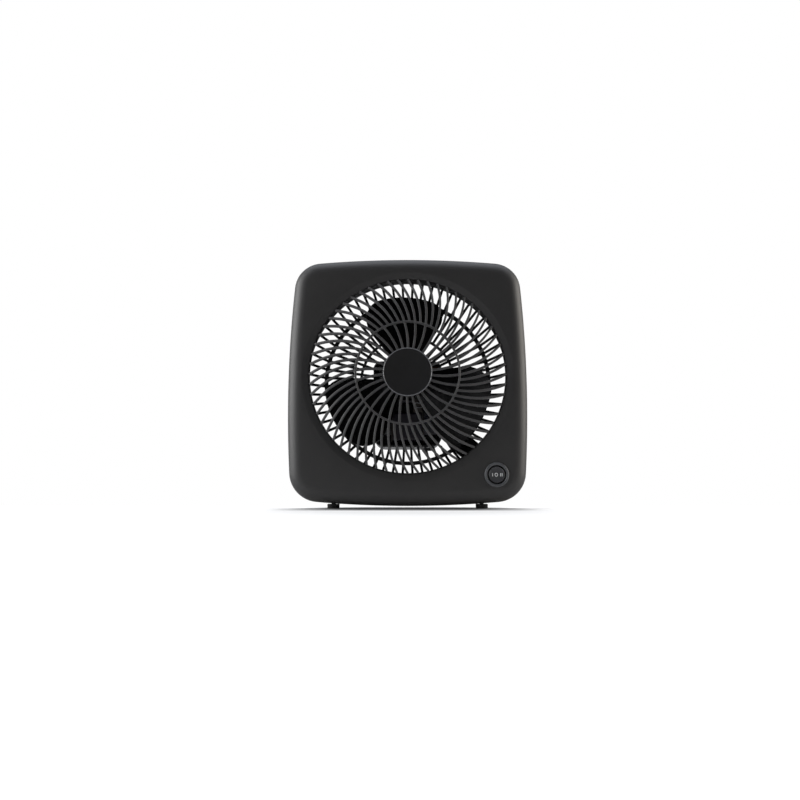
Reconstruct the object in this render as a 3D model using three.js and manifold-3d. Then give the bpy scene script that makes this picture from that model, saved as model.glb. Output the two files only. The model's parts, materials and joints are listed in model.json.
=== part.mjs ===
// A small square box fan with a shaded-pole motor, in millimetres.
// X runs to the right as seen from the front, Y runs from the front to the back, Z runs up.
// The feet stand on Z = 0, and the fan turns about an axis along Y.
import * as THREE from "three";
import { mergeVertices } from "three/addons/utils/BufferGeometryUtils.js";
import Module from "manifold-3d";

const wasm = await Module();
wasm.setup();

// Clearances shared by all pieces
const fitGap = 0.3;
const cutOverrun = 2;

// Body outline and shells
const bodyHalfWidth = 115;
const bodyHalfHeight = 120.3;
const bodyDepth = 70;
const sideBowRadius = 1180;
const sideBowDrop = 4.2;
const endBowRadius = 1000;
const topCornerRadius = 27;
const bottomCornerRadius = 28.5;
const frontFilletRadius = 13;
const rearFilletRadius = 6;
const rearRimInset = 5;
const wall = 2.2;
const partingDepth = 34;
const tongueLength = 4;
const tongueThickness = 1.4;
const floorClearance = 2.4;
const fanAxisRise = 3.5;

// Opening, duct and throat
const openingMargin = 21;
const dishWidth = 7;
const dishDepth = 1.7;
const lipRound = 0.6;
const lipThickness = 2.4;
const ductStep = 2;
const ductFlare = 2;
const throatDepth = 27;
const ductWall = 1.8;
const collarWall = 1.5;
const collarDepth = 5;
const clampThickness = 3;
const clampWidth = 5;
const ledgeWidth = 3.3;
const ledgeThickness = 2.5;

// Front grille and hub cap
const ribWidth = 2.2;
const ribDepth = 4.5;
const ribBendRadius = 84;
const ribBendStart = 24;
const domeRise = 9.5;
const domeEdgeDepth = 0.9;
const rimWall = 1.3;
const rimFlangeThickness = 2;
const midRingRadius = 48.9;
const midRingWidth = 1.8;
const midRingProud = 0.4;
const hubSeatRadius = 22.6;
const hubSeatThickness = 3.5;
const capRadius = 23.2;
const capThickness = 1.5;
const capBeadWidth = 1.1;
const capBeadHeight = 0.5;
const capBeadRound = 0.3;
const capPegRadius = 4;
const capPegLength = 5;

// Rear grille, motor pocket and wire channel
const rearRibWidth = 1.8;
const rearRibDepth = 3;
const rearPlaneDepth = 44.5;
const ringRecess = 0.4;
const ribEdgeInset = 0.5;
const bowlRun = 15.8;
const outerRingWidth = 3;
const innerRingRadius = 47;
const innerRingWidth = 2;
const pocketHalfWidth = 34.5;
const pocketTop = 21;
const pocketBottom = 66;
const pocketRear = 81;
const pocketWall = 2;
const pocketCornerRadius = 8;
const coverLapLength = 2.2;
const coverLapWall = 0.7;
const channelWidth = 21;
const channelWall = 1.6;
const channelFrontDepth = 3;
const channelRearDepth = 2;
const channelCoverThickness = 1.4;
const leadGateWidth = 12;

// Fan rotor
const bladeTipClearance = 12.6;
const bladeMiddleDepth = 23;
const bladeHalfPitch = 10.5;
const bladeCamber = 3;
const bladeRootThickness = 2.4;
const bladeTipThickness = 1.5;
const bladeCornerRadius = 15;
const rotorHubRadius = 20.5;
const rotorHubFront = 8;
const rotorHubRear = 35;
const rotorHubRound = 4;
const rotorHubWall = 2;
const rotorBossRadius = 6;
const retainerRadius = 8;
const retainerLength = 4;

// Motor
const shaftRadius = 2.5;
const shaftFront = 14;
const coreFront = 52;
const coreStack = 16;
const coreHalfWidth = 29;
const coreTop = 18.5;
const coreBottom = 53;
const coreYoke = 15;
const coreWindowTop = 20;
const coreWindowHalfWidth = 16.5;
const rotorCoreRadius = 11.4;
const airGap = 0.8;
const bobbinWall = 1.2;
const bobbinFlange = 1.2;
const coilBuild = 6.2;
const bracketThickness = 2;
const bracketArmWidth = 12;
const bracketFootRadius = 4.2;
const bearingCupRadius = 8.5;
const bearingCupLength = 7.5;
const bearingCupWall = 1;
const bushRadius = 5.7;
const washerRadius = 4.6;
const washerThickness = 0.8;
const motorScrewSpan = 24.5;
const motorScrewRadius = 1.8;
const motorScrewHeadRadius = 3.6;
const motorScrewHeadHeight = 2.2;
const shadingBar = 1.9;
const shadingHeight = 3.6;
const shadingMiddle = 14.6;
const shadingInner = 18;
const bracketStandoff = 4;

// Switch
const switchSideInset = 32.3;
const switchUnderInset = 28.6;
const bezelRadius = 11.5;
const bezelThickness = 1.7;
const bezelInnerRadius = 8.5;
const bezelChamfer = 0.6;
const barrelRadius = 9.9;
const barrelDepth = 17;
const rockerWellDepth = 10;
const rockerRadius = 7.4;
const rockerBackRadius = 5.2;
const rockerProud = 2;
const rockerDish = 0.5;
const rockerBackDepth = 6;
const rockerPivotDepth = 2.5;
const rockerPinRadius = 1;
const terminalWidth = 4.8;
const terminalThickness = 0.8;
const terminalLength = 7.5;
const terminalPitch = 5.6;

// Cord inlet, leads, feet and housing screws
const inletAcross = 21;
const inletDepth = 64;
const inletNeckRadius = 4.7;
const inletFlangeRadius = 6.2;
const inletFlangeThickness = 1.8;
const inletBoreRadius = 3.3;
const leadRadius = 0.8;
const leadPitch = 3;
const footSideInset = 44.9;
const rearFootSpread = 3.7;
const footFront = 17;
const footRear = 57;
const footRadius = 5.7;
const footStemRadius = 1.9;
const footStemLength = 4.5;
const footRound = 0.7;
const screwWellRadius = 5.4;
const screwWellWall = 1.3;
const screwWellDepth = 38;
const screwPostRadius = 4;
const screwHoleRadius = 1.9;
const screwShankRadius = 1.5;
const screwShankLength = 14;
const screwHeadRadius = 3.2;
const screwHeadHeight = 2.2;
const screwSideInset = 25;
const upperScrewInset = 28.8;
const footToScrew = 20.1;
const lowerScrewInset = 15.3;

// Angles in degrees, and counts
const ribCount = 60;
const ribStartAngle = 5.1;
const bladeCount = 3;
const bladeRestAngle = 92;
const bladeLeadingAngle = -28;
const bladeTrailingAngle = 31;
const edgeSteps = 8;
const cornerSteps = 4;
const ringSteps = 60;
const wideRoundSteps = 30;
const roundSteps = 16;
const smallRoundSteps = 8;
const filletSteps = 4;
const rearFilletSteps = 3;
const longRibSteps = 4;
const shortRibSteps = 3;
const chordSteps = 5;
const leadSteps = 16;
const leadSides = 6;

// Places that follow from the sizes above
const bodyMiddle = -fanAxisRise;
const bodyTop = bodyHalfHeight - fanAxisRise;
const bodyUnder = bodyHalfHeight + fanAxisRise;
const openingRadius = Math.min(bodyHalfWidth, bodyTop) - openingMargin;
const ductRadius = openingRadius + ductStep;
const throatRadius = ductRadius + ductFlare;
const outerRingRadius = throatRadius - bowlRun;
const bladeTipRadius = ductRadius - bladeTipClearance;
const switchAcross = bodyHalfWidth - switchSideInset;
const switchDrop = bodyUnder - switchUnderInset;
const footAcross = bodyHalfWidth - footSideInset;
const rearFootAcross = footAcross + rearFootSpread;
const upperScrewAcross = bodyHalfWidth - screwSideInset;
const upperScrewRise = bodyTop - upperScrewInset;
const lowerScrewAcross = footAcross - footToScrew;
const lowerScrewDrop = bodyUnder - lowerScrewInset;
const channelAngle = -THREE.MathUtils.radToDeg(Math.atan2(switchDrop, switchAcross));
const fanAxisHeight = floorClearance + bodyHalfHeight + fanAxisRise;
const capFront = -domeRise - fitGap - capThickness - capBeadHeight;
const depthMiddle = (capFront + pocketRear) / 2;
const lipBack = dishDepth + lipThickness;
const flangeFront = lipBack + fitGap;
const flangeBack = flangeFront + rimFlangeThickness;
const flangeRadius = ductRadius + ductWall;
const collarRadius = flangeRadius + 3 * fitGap;
const clampFront = throatDepth + fitGap;
const ledgeFront = clampFront + clampThickness + fitGap;
const clampRadius = throatRadius + clampWidth;
const clampHole = clampRadius + 3 * fitGap;
const ledgeRadius = clampRadius + fitGap - ledgeWidth;
const bowlBendRadius = outerRingRadius + outerRingWidth / 2 + ringRecess;
const rearRibBack = rearPlaneDepth + rearRibDepth;
const pocketFloor = pocketRear - pocketWall;
const pocketMouth = rearPlaneDepth - rearRibWidth / 2;
const coverFront = rearRibBack + fitGap;
const coverLapFront = coverFront - coverLapLength;
const coreRear = coreFront + coreStack;
const statorBoreRadius = rotorCoreRadius + airGap;
const rad = THREE.MathUtils.degToRad;

// Closed solids from plain geometry

// Welds a geometry's shared vertices and drops the triangles that this closes up.
function toSolid(geometry) {
  const bare = geometry.clone();
  bare.deleteAttribute("normal");
  bare.deleteAttribute("uv");
  const welded = mergeVertices(bare);
  const kept = [];
  const index = welded.index.array;
  for (let i = 0; i < index.length; i += 3) {
    const [a, b, c] = [index[i], index[i + 1], index[i + 2]];
    if (a !== b && b !== c && c !== a) kept.push(a, b, c);
  }
  const mesh = new wasm.Mesh({
    numProp: 3,
    vertProperties: welded.attributes.position.array,
    triVerts: Uint32Array.from(kept),
  });
  return new wasm.Manifold(mesh);
}

function toGeometry(solid) {
  const mesh = solid.getMesh();
  const geometry = new THREE.BufferGeometry();
  const places = new THREE.BufferAttribute(mesh.vertProperties, mesh.numProp);
  geometry.setAttribute("position", places);
  geometry.setIndex(new THREE.BufferAttribute(mesh.triVerts, 1));
  return geometry;
}

// Joins a list two by two, which keeps the joins small.
function joined(solids) {
  let list = solids;
  while (list.length > 1) {
    const next = [];
    for (let i = 0; i < list.length; i += 2) {
      next.push(i + 1 < list.length ? list[i].add(list[i + 1]) : list[i]);
    }
    list = next;
  }
  return list[0];
}

// Rings of points become a geometry, turned so that its faces point out.
function ringGeometry(rings, triangles) {
  const points = rings.flat();
  let volume = 0;
  const cross = new THREE.Vector3();
  for (let i = 0; i < triangles.length; i += 3) {
    cross.crossVectors(points[triangles[i + 1]], points[triangles[i + 2]]);
    volume += points[triangles[i]].dot(cross);
  }
  const geometry = new THREE.BufferGeometry().setFromPoints(points);
  geometry.setIndex(volume < 0 ? triangles.reverse() : triangles);
  return geometry;
}

function ringSides(rings, closed) {
  const triangles = [];
  const count = rings[0].length;
  const last = closed ? rings.length : rings.length - 1;
  for (let j = 0; j < last; j++) {
    const here = j * count;
    const next = ((j + 1) % rings.length) * count;
    for (let i = 0; i < count; i++) {
      const k = (i + 1) % count;
      triangles.push(here + i, here + k, next + k);
      triangles.push(here + i, next + k, next + i);
    }
  }
  return triangles;
}

// A loft whose last ring joins its first, for walls that run round a hole.
function hoopLoft(rings) {
  return toSolid(ringGeometry(rings, ringSides(rings, true)));
}

// A loft closed by flat ends that can be seen whole from each ring's own first point.
function barLoft(rings) {
  const triangles = ringSides(rings, false);
  const count = rings[0].length;
  const end = (rings.length - 1) * count;
  for (let i = 1; i < count - 1; i++) {
    triangles.push(0, i + 1, i);
    triangles.push(end, end + i, end + i + 1);
  }
  return toSolid(ringGeometry(rings, triangles));
}

// A loft of flat blade sections, each a front row of points and then the back row reversed.
function bladeLoft(rings) {
  const triangles = ringSides(rings, false);
  const count = rings[0].length;
  const end = (rings.length - 1) * count;
  for (let i = 0; i < count / 2 - 1; i++) {
    const across = count - 1 - i;
    triangles.push(0 + i, across, i + 1, i + 1, across, across - 1);
    triangles.push(end + i, end + i + 1, end + across);
    triangles.push(end + i + 1, end + across - 1, end + across);
  }
  return toSolid(ringGeometry(rings, triangles));
}

// Turned about the fan's axis: a list of [radius, depth] pairs.
function turned(profile, steps) {
  const points = profile.map(([radius, depth]) => new THREE.Vector2(radius, depth));
  const solid = toSolid(new THREE.LatheGeometry(points, steps));
  return solid.volume() < 0 ? turned([...profile].reverse(), steps) : solid;
}

// A ring of rectangular section about the fan's axis, its first corner at an angle if one is given.
function hoop(inner, outer, front, back, steps, angle = 0) {
  const profile = [[inner, front], [outer, front], [outer, back], [inner, back], [inner, front]];
  return turned(profile, steps).rotate([0, -angle, 0]);
}

function disc(radius, front, back, steps) {
  return turned([[0, front], [radius, front], [radius, back], [0, back]], steps);
}

// A flat outline in X and Z, given a thickness from front to back.
function plate(shape, front, back) {
  const geometry = new THREE.ExtrudeGeometry(shape, {
    depth: back - front,
    bevelEnabled: false,
    curveSegments: cornerSteps,
  });
  geometry.rotateX(Math.PI / 2);
  geometry.translate(0, back, 0);
  return toSolid(geometry);
}

// An outline in radius and depth, given a width across and turned to an angle round the axis.
function radialBar(profile, width, angle) {
  const shape = new THREE.Shape(profile.map(([radius, depth]) => new THREE.Vector2(radius, depth)));
  const geometry = new THREE.ExtrudeGeometry(shape, { depth: width, bevelEnabled: false });
  geometry.translate(0, 0, -width / 2);
  geometry.rotateY(-rad(angle));
  return toSolid(geometry);
}

function box(low, high) {
  const size = high.map((value, axis) => value - low[axis]);
  const geometry = new THREE.BoxGeometry(...size);
  geometry.translate(...low.map((value, axis) => value + size[axis] / 2));
  return toSolid(geometry);
}

function roundedOutline(left, right, bottom, top, radius) {
  const shape = new THREE.Shape();
  shape.moveTo(left + radius, bottom);
  shape.lineTo(right - radius, bottom);
  shape.absarc(right - radius, bottom + radius, radius, -Math.PI / 2, 0);
  shape.lineTo(right, top - radius);
  shape.absarc(right - radius, top - radius, radius, 0, Math.PI / 2);
  shape.lineTo(left + radius, top);
  shape.absarc(left + radius, top - radius, radius, Math.PI / 2, Math.PI);
  shape.lineTo(left, bottom + radius);
  shape.absarc(left + radius, bottom + radius, radius, Math.PI, Math.PI * 1.5);
  return shape;
}

// The body's outline: four bowed edges, each tangent to the corner arcs beside it

function cornerCentre(sideSign, endSign, radius) {
  const sideCentre = new THREE.Vector2(sideSign * (bodyHalfWidth - sideBowRadius), -sideBowDrop);
  const endCentre = new THREE.Vector2(0, endSign * (bodyHalfHeight - endBowRadius));
  const sideReach = sideBowRadius - radius;
  const endReach = endBowRadius - radius;
  const between = endCentre.clone().sub(sideCentre);
  const distance = between.length();
  const along = (distance ** 2 + sideReach ** 2 - endReach ** 2) / (2 * distance);
  const off = Math.sqrt(sideReach ** 2 - along ** 2);
  const unit = between.clone().normalize();
  const across = new THREE.Vector2(-unit.y, unit.x);
  if (across.x * sideSign < 0) across.negate();
  return sideCentre.add(unit.multiplyScalar(along)).add(across.multiplyScalar(off));
}

// The arcs in order, counter-clockwise from the lower right, as centre, radius and two directions.
function outlineArcs() {
  const corners = [[1, -1], [1, 1], [-1, 1], [-1, -1]].map(([side, end]) => {
    const radius = end > 0 ? topCornerRadius : bottomCornerRadius;
    return { side, end, radius, centre: cornerCentre(side, end, radius) };
  });
  const heading = (from, to) => Math.atan2(to.y - from.y, to.x - from.x);
  const sideCentre = (side) =>
    new THREE.Vector2(side * (bodyHalfWidth - sideBowRadius), -sideBowDrop);
  const endCentre = (end) => new THREE.Vector2(0, end * (bodyHalfHeight - endBowRadius));
  const arcs = [];
  corners.forEach((corner, i) => {
    const next = corners[(i + 1) % corners.length];
    const fromSide = heading(sideCentre(corner.side), corner.centre);
    const fromEnd = heading(endCentre(corner.end), corner.centre);
    const sideFirst = corner.side * corner.end > 0;
    const [start, stop] = sideFirst ? [fromSide, fromEnd] : [fromEnd, fromSide];
    arcs.push({ centre: corner.centre, radius: corner.radius, start, stop, steps: cornerSteps });
    const edgeCentre = sideFirst ? endCentre(corner.end) : sideCentre(corner.side);
    const edgeRadius = sideFirst ? endBowRadius : sideBowRadius;
    const edgeStop = heading(edgeCentre, next.centre);
    arcs.push({ centre: edgeCentre, radius: edgeRadius, start: stop, stop: edgeStop, steps: edgeSteps });
  });
  return arcs;
}

const bodyArcs = outlineArcs();

// Points of the outline moved in by an inset, in X and Z about the fan's axis.
function outlinePoints(inset) {
  const points = [];
  for (const { centre, radius, start, stop, steps } of bodyArcs) {
    let turn = stop - start;
    while (turn <= -Math.PI) turn += 2 * Math.PI;
    while (turn > Math.PI) turn -= 2 * Math.PI;
    for (let i = 0; i < steps; i++) {
      const angle = start + (turn * i) / steps;
      const reach = radius - inset;
      points.push([centre.x + reach * Math.cos(angle), centre.y + bodyMiddle + reach * Math.sin(angle)]);
    }
  }
  return points;
}

const outlineDirections = outlinePoints(0).map(([x, z]) => Math.atan2(z, x));

function bodyRing(inset, depth) {
  return outlinePoints(inset).map(([x, z]) => new THREE.Vector3(x, depth, z));
}

function roundRing(radius, depth) {
  return outlineDirections.map(
    (angle) => new THREE.Vector3(radius * Math.cos(angle), depth, radius * Math.sin(angle)),
  );
}

// Height of the underside above the feet's floor, measured from the fan's axis.
function undersideAt(across) {
  const centre = bodyMiddle - bodyHalfHeight + endBowRadius;
  return centre - Math.sqrt(endBowRadius ** 2 - across ** 2);
}

const screwPlaces = [
  ["left_top", -upperScrewAcross, upperScrewRise],
  ["right_top", upperScrewAcross, upperScrewRise],
  ["left_bottom", -lowerScrewAcross, -lowerScrewDrop],
  ["right_bottom", lowerScrewAcross, -lowerScrewDrop],
];
const footPlaces = [
  ["front_left", -footAcross, footFront],
  ["front_right", footAcross, footFront],
  ["rear_left", -rearFootAcross, footRear],
  ["rear_right", rearFootAcross, footRear],
];

function footHole(across, depth) {
  const hole = new THREE.CylinderGeometry(
    footStemRadius + 2 * fitGap,
    footStemRadius + 2 * fitGap,
    2 * (wall + cutOverrun),
    smallRoundSteps,
  );
  hole.rotateX(Math.PI / 2);
  hole.translate(across, depth, undersideAt(across));
  return toSolid(hole);
}

// The notch through which the leads leave the throat, in the clamped rim and in the wall round it.
function leadGate() {
  const inner = throatRadius - fitGap;
  const outer = clampHole + wall + cutOverrun;
  const front = clampFront - cutOverrun;
  const back = ledgeFront + 2 * fitGap;
  return radialBar([[inner, front], [outer, front], [outer, back], [inner, back]], leadGateWidth,
    channelAngle);
}

// Front housing: opening lip, dished face, rounded edge, side wall and a collar round the duct ring
function frontHousing() {
  const rings = [
    roundRing(collarRadius, lipBack + collarDepth),
    roundRing(collarRadius, lipBack),
    roundRing(openingRadius, lipBack),
    roundRing(openingRadius, dishDepth + lipRound),
    roundRing(openingRadius + lipRound, dishDepth),
    roundRing(openingRadius + dishWidth, 0),
  ];
  for (let i = 0; i <= filletSteps; i++) {
    const turn = (Math.PI / 2) * (i / filletSteps);
    const inset = frontFilletRadius * (1 - Math.sin(turn));
    rings.push(bodyRing(inset, frontFilletRadius * (1 - Math.cos(turn))));
  }
  rings.push(bodyRing(0, partingDepth));
  rings.push(bodyRing(wall, partingDepth));
  for (let i = filletSteps; i >= 0; i -= 2) {
    const turn = (Math.PI / 2) * (i / filletSteps);
    const reach = frontFilletRadius - wall;
    const inset = frontFilletRadius - reach * Math.sin(turn);
    rings.push(bodyRing(inset, frontFilletRadius - reach * Math.cos(turn)));
  }
  rings.push(roundRing(collarRadius + collarWall, lipBack));
  rings.push(roundRing(collarRadius + collarWall, lipBack + collarDepth));
  const shell = hoopLoft(rings);

  const postFront = wall / 2;
  const postBack = screwWellDepth - wall - fitGap;
  const posts = screwPlaces.map(([, x, z]) =>
    disc(screwPostRadius, postFront, postBack, smallRoundSteps).translate(x, 0, z),
  );
  const pilots = screwPlaces.map(([, x, z]) =>
    disc(screwShankRadius + fitGap, partingDepth - screwShankLength, partingDepth + cutOverrun + wall,
      smallRoundSteps).translate(x, 0, z),
  );
  const switchHole = disc(barrelRadius + 2 * fitGap, -cutOverrun, frontFilletRadius, roundSteps)
    .translate(switchAcross, 0, -switchDrop);
  const footHoles = footPlaces.filter(([, , depth]) => depth < partingDepth)
    .map(([, x, depth]) => footHole(x, depth));
  return shell.add(joined(posts)).subtract(joined([...pilots, ...footHoles])).subtract(switchHole);
}

// The ring that clamps the front grille's flange and widens towards the rotor
function ductRing() {
  const front = flangeBack + fitGap;
  return hoopLoft([
    roundRing(throatRadius, throatDepth),
    roundRing(ductRadius, front),
    roundRing(flangeRadius, front),
    roundRing(throatRadius + ductWall, throatDepth),
  ]);
}

// Rear housing: side wall, rear rim, and a funnel from the rim to the throat
function rearHousing() {
  const front = partingDepth + fitGap;
  const tongueOut = wall + fitGap;
  const tongueIn = tongueOut + tongueThickness;
  const funnelFront = ledgeFront + ledgeThickness;
  const rimRound = bodyDepth - rearFilletRadius;
  const rings = [
    roundRing(clampHole, clampFront),
    roundRing(clampHole, ledgeFront),
    roundRing(ledgeRadius, ledgeFront),
    roundRing(ledgeRadius, funnelFront),
    bodyRing(rearRimInset, bodyDepth),
  ];
  for (let i = 1; i <= rearFilletSteps; i++) {
    const turn = (Math.PI / 2) * (i / rearFilletSteps);
    const inset = rearRimInset * (1 - Math.sin(turn));
    rings.push(bodyRing(inset, rimRound + rearFilletRadius * Math.cos(turn)));
  }
  rings.push(
    bodyRing(0, front),
    bodyRing(tongueOut, front),
    bodyRing(tongueOut, front - tongueLength),
    bodyRing(tongueIn, front - tongueLength),
    bodyRing(tongueIn, front + tongueLength),
    bodyRing(wall, front + 2 * tongueLength),
    bodyRing(wall, rimRound - wall),
    bodyRing(2 * wall, rimRound),
    roundRing(clampHole + wall, funnelFront - wall),
    roundRing(clampHole + wall, clampFront),
  );
  const shell = hoopLoft(rings);

  const behind = barLoft([
    roundRing(ledgeRadius, funnelFront),
    bodyRing(rearRimInset, bodyDepth),
    bodyRing(rearRimInset, bodyDepth + cutOverrun),
  ]);
  const wellFront = screwWellDepth - wall;
  const wells = screwPlaces.map(([, x, z]) =>
    disc(screwWellRadius, wellFront, bodyDepth, smallRoundSteps).translate(x, 0, z),
  );
  const bores = screwPlaces.map(([, x, z]) =>
    disc(screwWellRadius - screwWellWall, screwWellDepth, bodyDepth + cutOverrun, smallRoundSteps)
      .translate(x, 0, z),
  );
  const holes = screwPlaces.map(([, x, z]) =>
    disc(screwHoleRadius, wellFront - cutOverrun, screwWellDepth + cutOverrun, smallRoundSteps)
      .translate(x, 0, z),
  );
  const footHoles = footPlaces.filter(([, , depth]) => depth > partingDepth)
    .map(([, x, depth]) => footHole(x, depth));
  return shell
    .add(joined(wells).subtract(behind))
    .subtract(joined([...bores, ...holes, ...footHoles, leadGate()]));
}

// Front grille: ribs bend like a bow, straight out at the hub and slanting at the rim

function domeDepth(radius) {
  if (radius <= midRingRadius) return -domeRise;
  const way = Math.min((radius - midRingRadius) / (openingRadius - midRingRadius), 1);
  return (domeRise + domeEdgeDepth) * (1 - Math.cos((Math.PI / 2) * way)) - domeRise;
}

// The turn of a rib's bow at which it reaches a radius.
function bowTurn(radius) {
  const sine = 2 * ribBendStart * ribBendRadius;
  const cosine = 2 * ribBendRadius ** 2;
  const rest = radius ** 2 - ribBendStart ** 2 - cosine;
  return Math.asin(rest / Math.hypot(sine, cosine)) + Math.atan2(cosine, sine);
}

// How far round a rib has swung at a radius, in degrees.
function bowSwing(radius) {
  const turn = bowTurn(radius);
  const across = ribBendRadius * (1 - Math.cos(turn));
  return THREE.MathUtils.radToDeg(Math.asin(across / radius));
}

function frontRib(from, to, steps, angle) {
  const [first, last] = [bowTurn(from), bowTurn(to)];
  const rings = [];
  for (let i = 0; i <= steps; i++) {
    const turn = first + ((last - first) * i) / steps;
    const x = ribBendStart + ribBendRadius * Math.sin(turn);
    const z = ribBendRadius * (1 - Math.cos(turn));
    const front = domeDepth(Math.hypot(x, z));
    const side = [(-Math.sin(turn) * ribWidth) / 2, (Math.cos(turn) * ribWidth) / 2];
    rings.push([
      new THREE.Vector3(x + side[0], front, z + side[1]),
      new THREE.Vector3(x - side[0], front, z - side[1]),
      new THREE.Vector3(x - side[0], front + ribDepth, z - side[1]),
      new THREE.Vector3(x + side[0], front + ribDepth, z + side[1]),
    ]);
  }
  return barLoft(rings).rotate([0, -angle, 0]);
}

function frontGrille() {
  const rimRadius = openingRadius - 2 * fitGap;
  const rimFront = dishDepth + lipRound / 2;
  const ribEnd = rimRadius - rimWall / 2;
  const rim = turned(
    [
      [rimRadius - rimWall, rimFront],
      [rimRadius, rimFront],
      [rimRadius, flangeFront],
      [flangeRadius, flangeFront],
      [flangeRadius, flangeBack],
      [rimRadius - rimWall, flangeBack],
      [rimRadius - rimWall, rimFront],
    ],
    ringSteps,
  ).rotate([0, -ribStartAngle - bowSwing(ribEnd), 0]);
  const midFront = domeDepth(midRingRadius) - midRingProud;
  const mid = hoop(midRingRadius - midRingWidth / 2, midRingRadius + midRingWidth / 2, midFront,
    midFront + ribDepth, ringSteps, ribStartAngle + bowSwing(midRingRadius));
  const seat = hoop(capPegRadius + fitGap, hubSeatRadius, -domeRise, hubSeatThickness - domeRise,
    wideRoundSteps);
  const ribs = [];
  const step = 360 / ribCount;
  for (let i = 0; i < ribCount; i++) {
    const angle = ribStartAngle + step * i;
    const [start, steps] = i % 2 === 0
      ? [hubSeatRadius - ribWidth / 2, longRibSteps]
      : [midRingRadius, shortRibSteps];
    ribs.push(frontRib(start, ribEnd, steps, angle));
  }
  return joined([...ribs, rim, mid, seat]);
}

function hubCap() {
  const back = -domeRise - fitGap;
  const face = back - capThickness;
  const bead = face - capBeadHeight;
  return turned(
    [
      [0, face],
      [capRadius - capBeadWidth, face],
      [capRadius - capBeadWidth + capBeadRound, bead],
      [capRadius - capBeadRound, bead],
      [capRadius, face],
      [capRadius, back],
      [capPegRadius, back],
      [capPegRadius, back + capPegLength],
      [0, back + capPegLength],
    ],
    wideRoundSteps,
  );
}

// Rear grille: radial ribs that step down from the clamped rim to a flat plane, with a collar in the
// middle that carries the motor cover

// Depth of the ribs' front edge: flat in the middle, then a slope up to the clamped rim.
function bowlDepth(radius) {
  const edge = clampFront + ribEdgeInset;
  const run = throatRadius - bowlBendRadius;
  return rearPlaneDepth - ((rearPlaneDepth - edge) * Math.max(radius - bowlBendRadius, 0)) / run;
}

function bowlProfile(frontMore, backMore, from, to) {
  return [
    [to, bowlDepth(to) - frontMore],
    [bowlBendRadius, rearPlaneDepth - frontMore],
    [from, rearPlaneDepth - frontMore],
    [from, rearRibBack + backMore],
    [bowlBendRadius, rearRibBack + backMore],
    [to, bowlDepth(to) + clampThickness - 2 * ribEdgeInset + backMore],
  ];
}

function pocketOutline(inset) {
  return roundedOutline(
    -pocketHalfWidth + inset,
    pocketHalfWidth - inset,
    -pocketBottom + inset,
    pocketTop - inset,
    pocketCornerRadius - inset,
  );
}

function rearGrille() {
  const step = 360 / ribCount;
  const rim = hoop(throatRadius, clampRadius, clampFront, clampFront + clampThickness, ringSteps);
  const ringFront = rearPlaneDepth + ringRecess;
  const ringBack = rearRibBack - ringRecess;
  const outer = hoop(outerRingRadius - outerRingWidth / 2, outerRingRadius + outerRingWidth / 2,
    ringFront, ringBack, ringSteps, step / 2);
  const inner = hoop(innerRingRadius - innerRingWidth / 2, innerRingRadius + innerRingWidth / 2,
    ringFront, ringBack, ringSteps, step / 2);
  const ribEnd = throatRadius + ribEdgeInset / 2;
  const ribs = [];
  for (let i = 0; i < ribCount; i++) {
    const from = i % 2 === 0 ? pocketTop / 2 : innerRingRadius;
    ribs.push(radialBar(bowlProfile(0, 0, from, ribEnd), rearRibWidth, step * (i + 0.5)));
  }
  const collar = plate(pocketOutline(0), pocketMouth, rearRibBack);
  const hollow = plate(pocketOutline(pocketWall), pocketMouth - channelFrontDepth - cutOverrun,
    rearRibBack + channelRearDepth);
  const rebate = plate(pocketOutline(coverLapWall), coverLapFront - fitGap,
    rearRibBack + channelRearDepth);
  const seat = plate(pocketOutline(-fitGap), rearRibBack, rearRibBack + channelRearDepth + cutOverrun);
  const duct = hoop(throatRadius - 3 * fitGap, throatRadius + clampWidth, 0, clampFront, ringSteps);
  const channel = radialBar(
    bowlProfile(channelFrontDepth, channelRearDepth, pocketHalfWidth, ribEnd),
    channelWidth,
    channelAngle,
  ).subtract(duct);
  const trough = radialBar(
    bowlProfile(channelFrontDepth + cutOverrun, channelRearDepth - channelWall, pocketHalfWidth,
      throatRadius + clampWidth),
    channelWidth - 2 * channelWall,
    channelAngle,
  );
  return joined([...ribs, rim, outer, inner, collar, channel])
    .subtract(joined([hollow, rebate, seat]))
    .subtract(trough)
    .subtract(leadGate());
}

// Motor cover: a tub behind the rear grille, its lip inside the grille's collar, with two bosses that
// the long motor screws bite into
function motorCover() {
  const tub = plate(pocketOutline(0), coverFront, pocketRear);
  const lip = plate(pocketOutline(coverLapWall + fitGap), coverLapFront, coverFront + pocketWall);
  const hollow = plate(pocketOutline(pocketWall), coverLapFront - cutOverrun, pocketFloor);
  const notch = radialBar(
    [
      [pocketHalfWidth / 2, coverLapFront - cutOverrun],
      [pocketHalfWidth * 2, coverLapFront - cutOverrun],
      [pocketHalfWidth * 2, coverFront],
      [pocketHalfWidth / 2, coverFront],
    ],
    channelWidth,
    channelAngle,
  );
  const bossFront = pocketFloor - bracketStandoff + fitGap;
  const bosses = [-1, 1].map((side) =>
    disc(bracketFootRadius, bossFront, pocketFloor + pocketWall / 2, smallRoundSteps)
      .translate(side * motorScrewSpan, 0, 0),
  );
  const bores = [-1, 1].map((side) =>
    disc(motorScrewRadius + fitGap, bossFront - cutOverrun, pocketFloor + pocketWall / 2,
      smallRoundSteps).translate(side * motorScrewSpan, 0, 0),
  );
  const inlet = toSolid(
    new THREE.CylinderGeometry(inletNeckRadius + fitGap, inletNeckRadius + fitGap,
      2 * (pocketWall + cutOverrun), roundSteps)
      .rotateX(Math.PI / 2)
      .translate(inletAcross, inletDepth, -pocketBottom),
  );
  return tub.add(lip)
    .subtract(hollow)
    .subtract(notch)
    .add(joined(bosses))
    .subtract(joined([...bores, inlet]));
}

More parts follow.
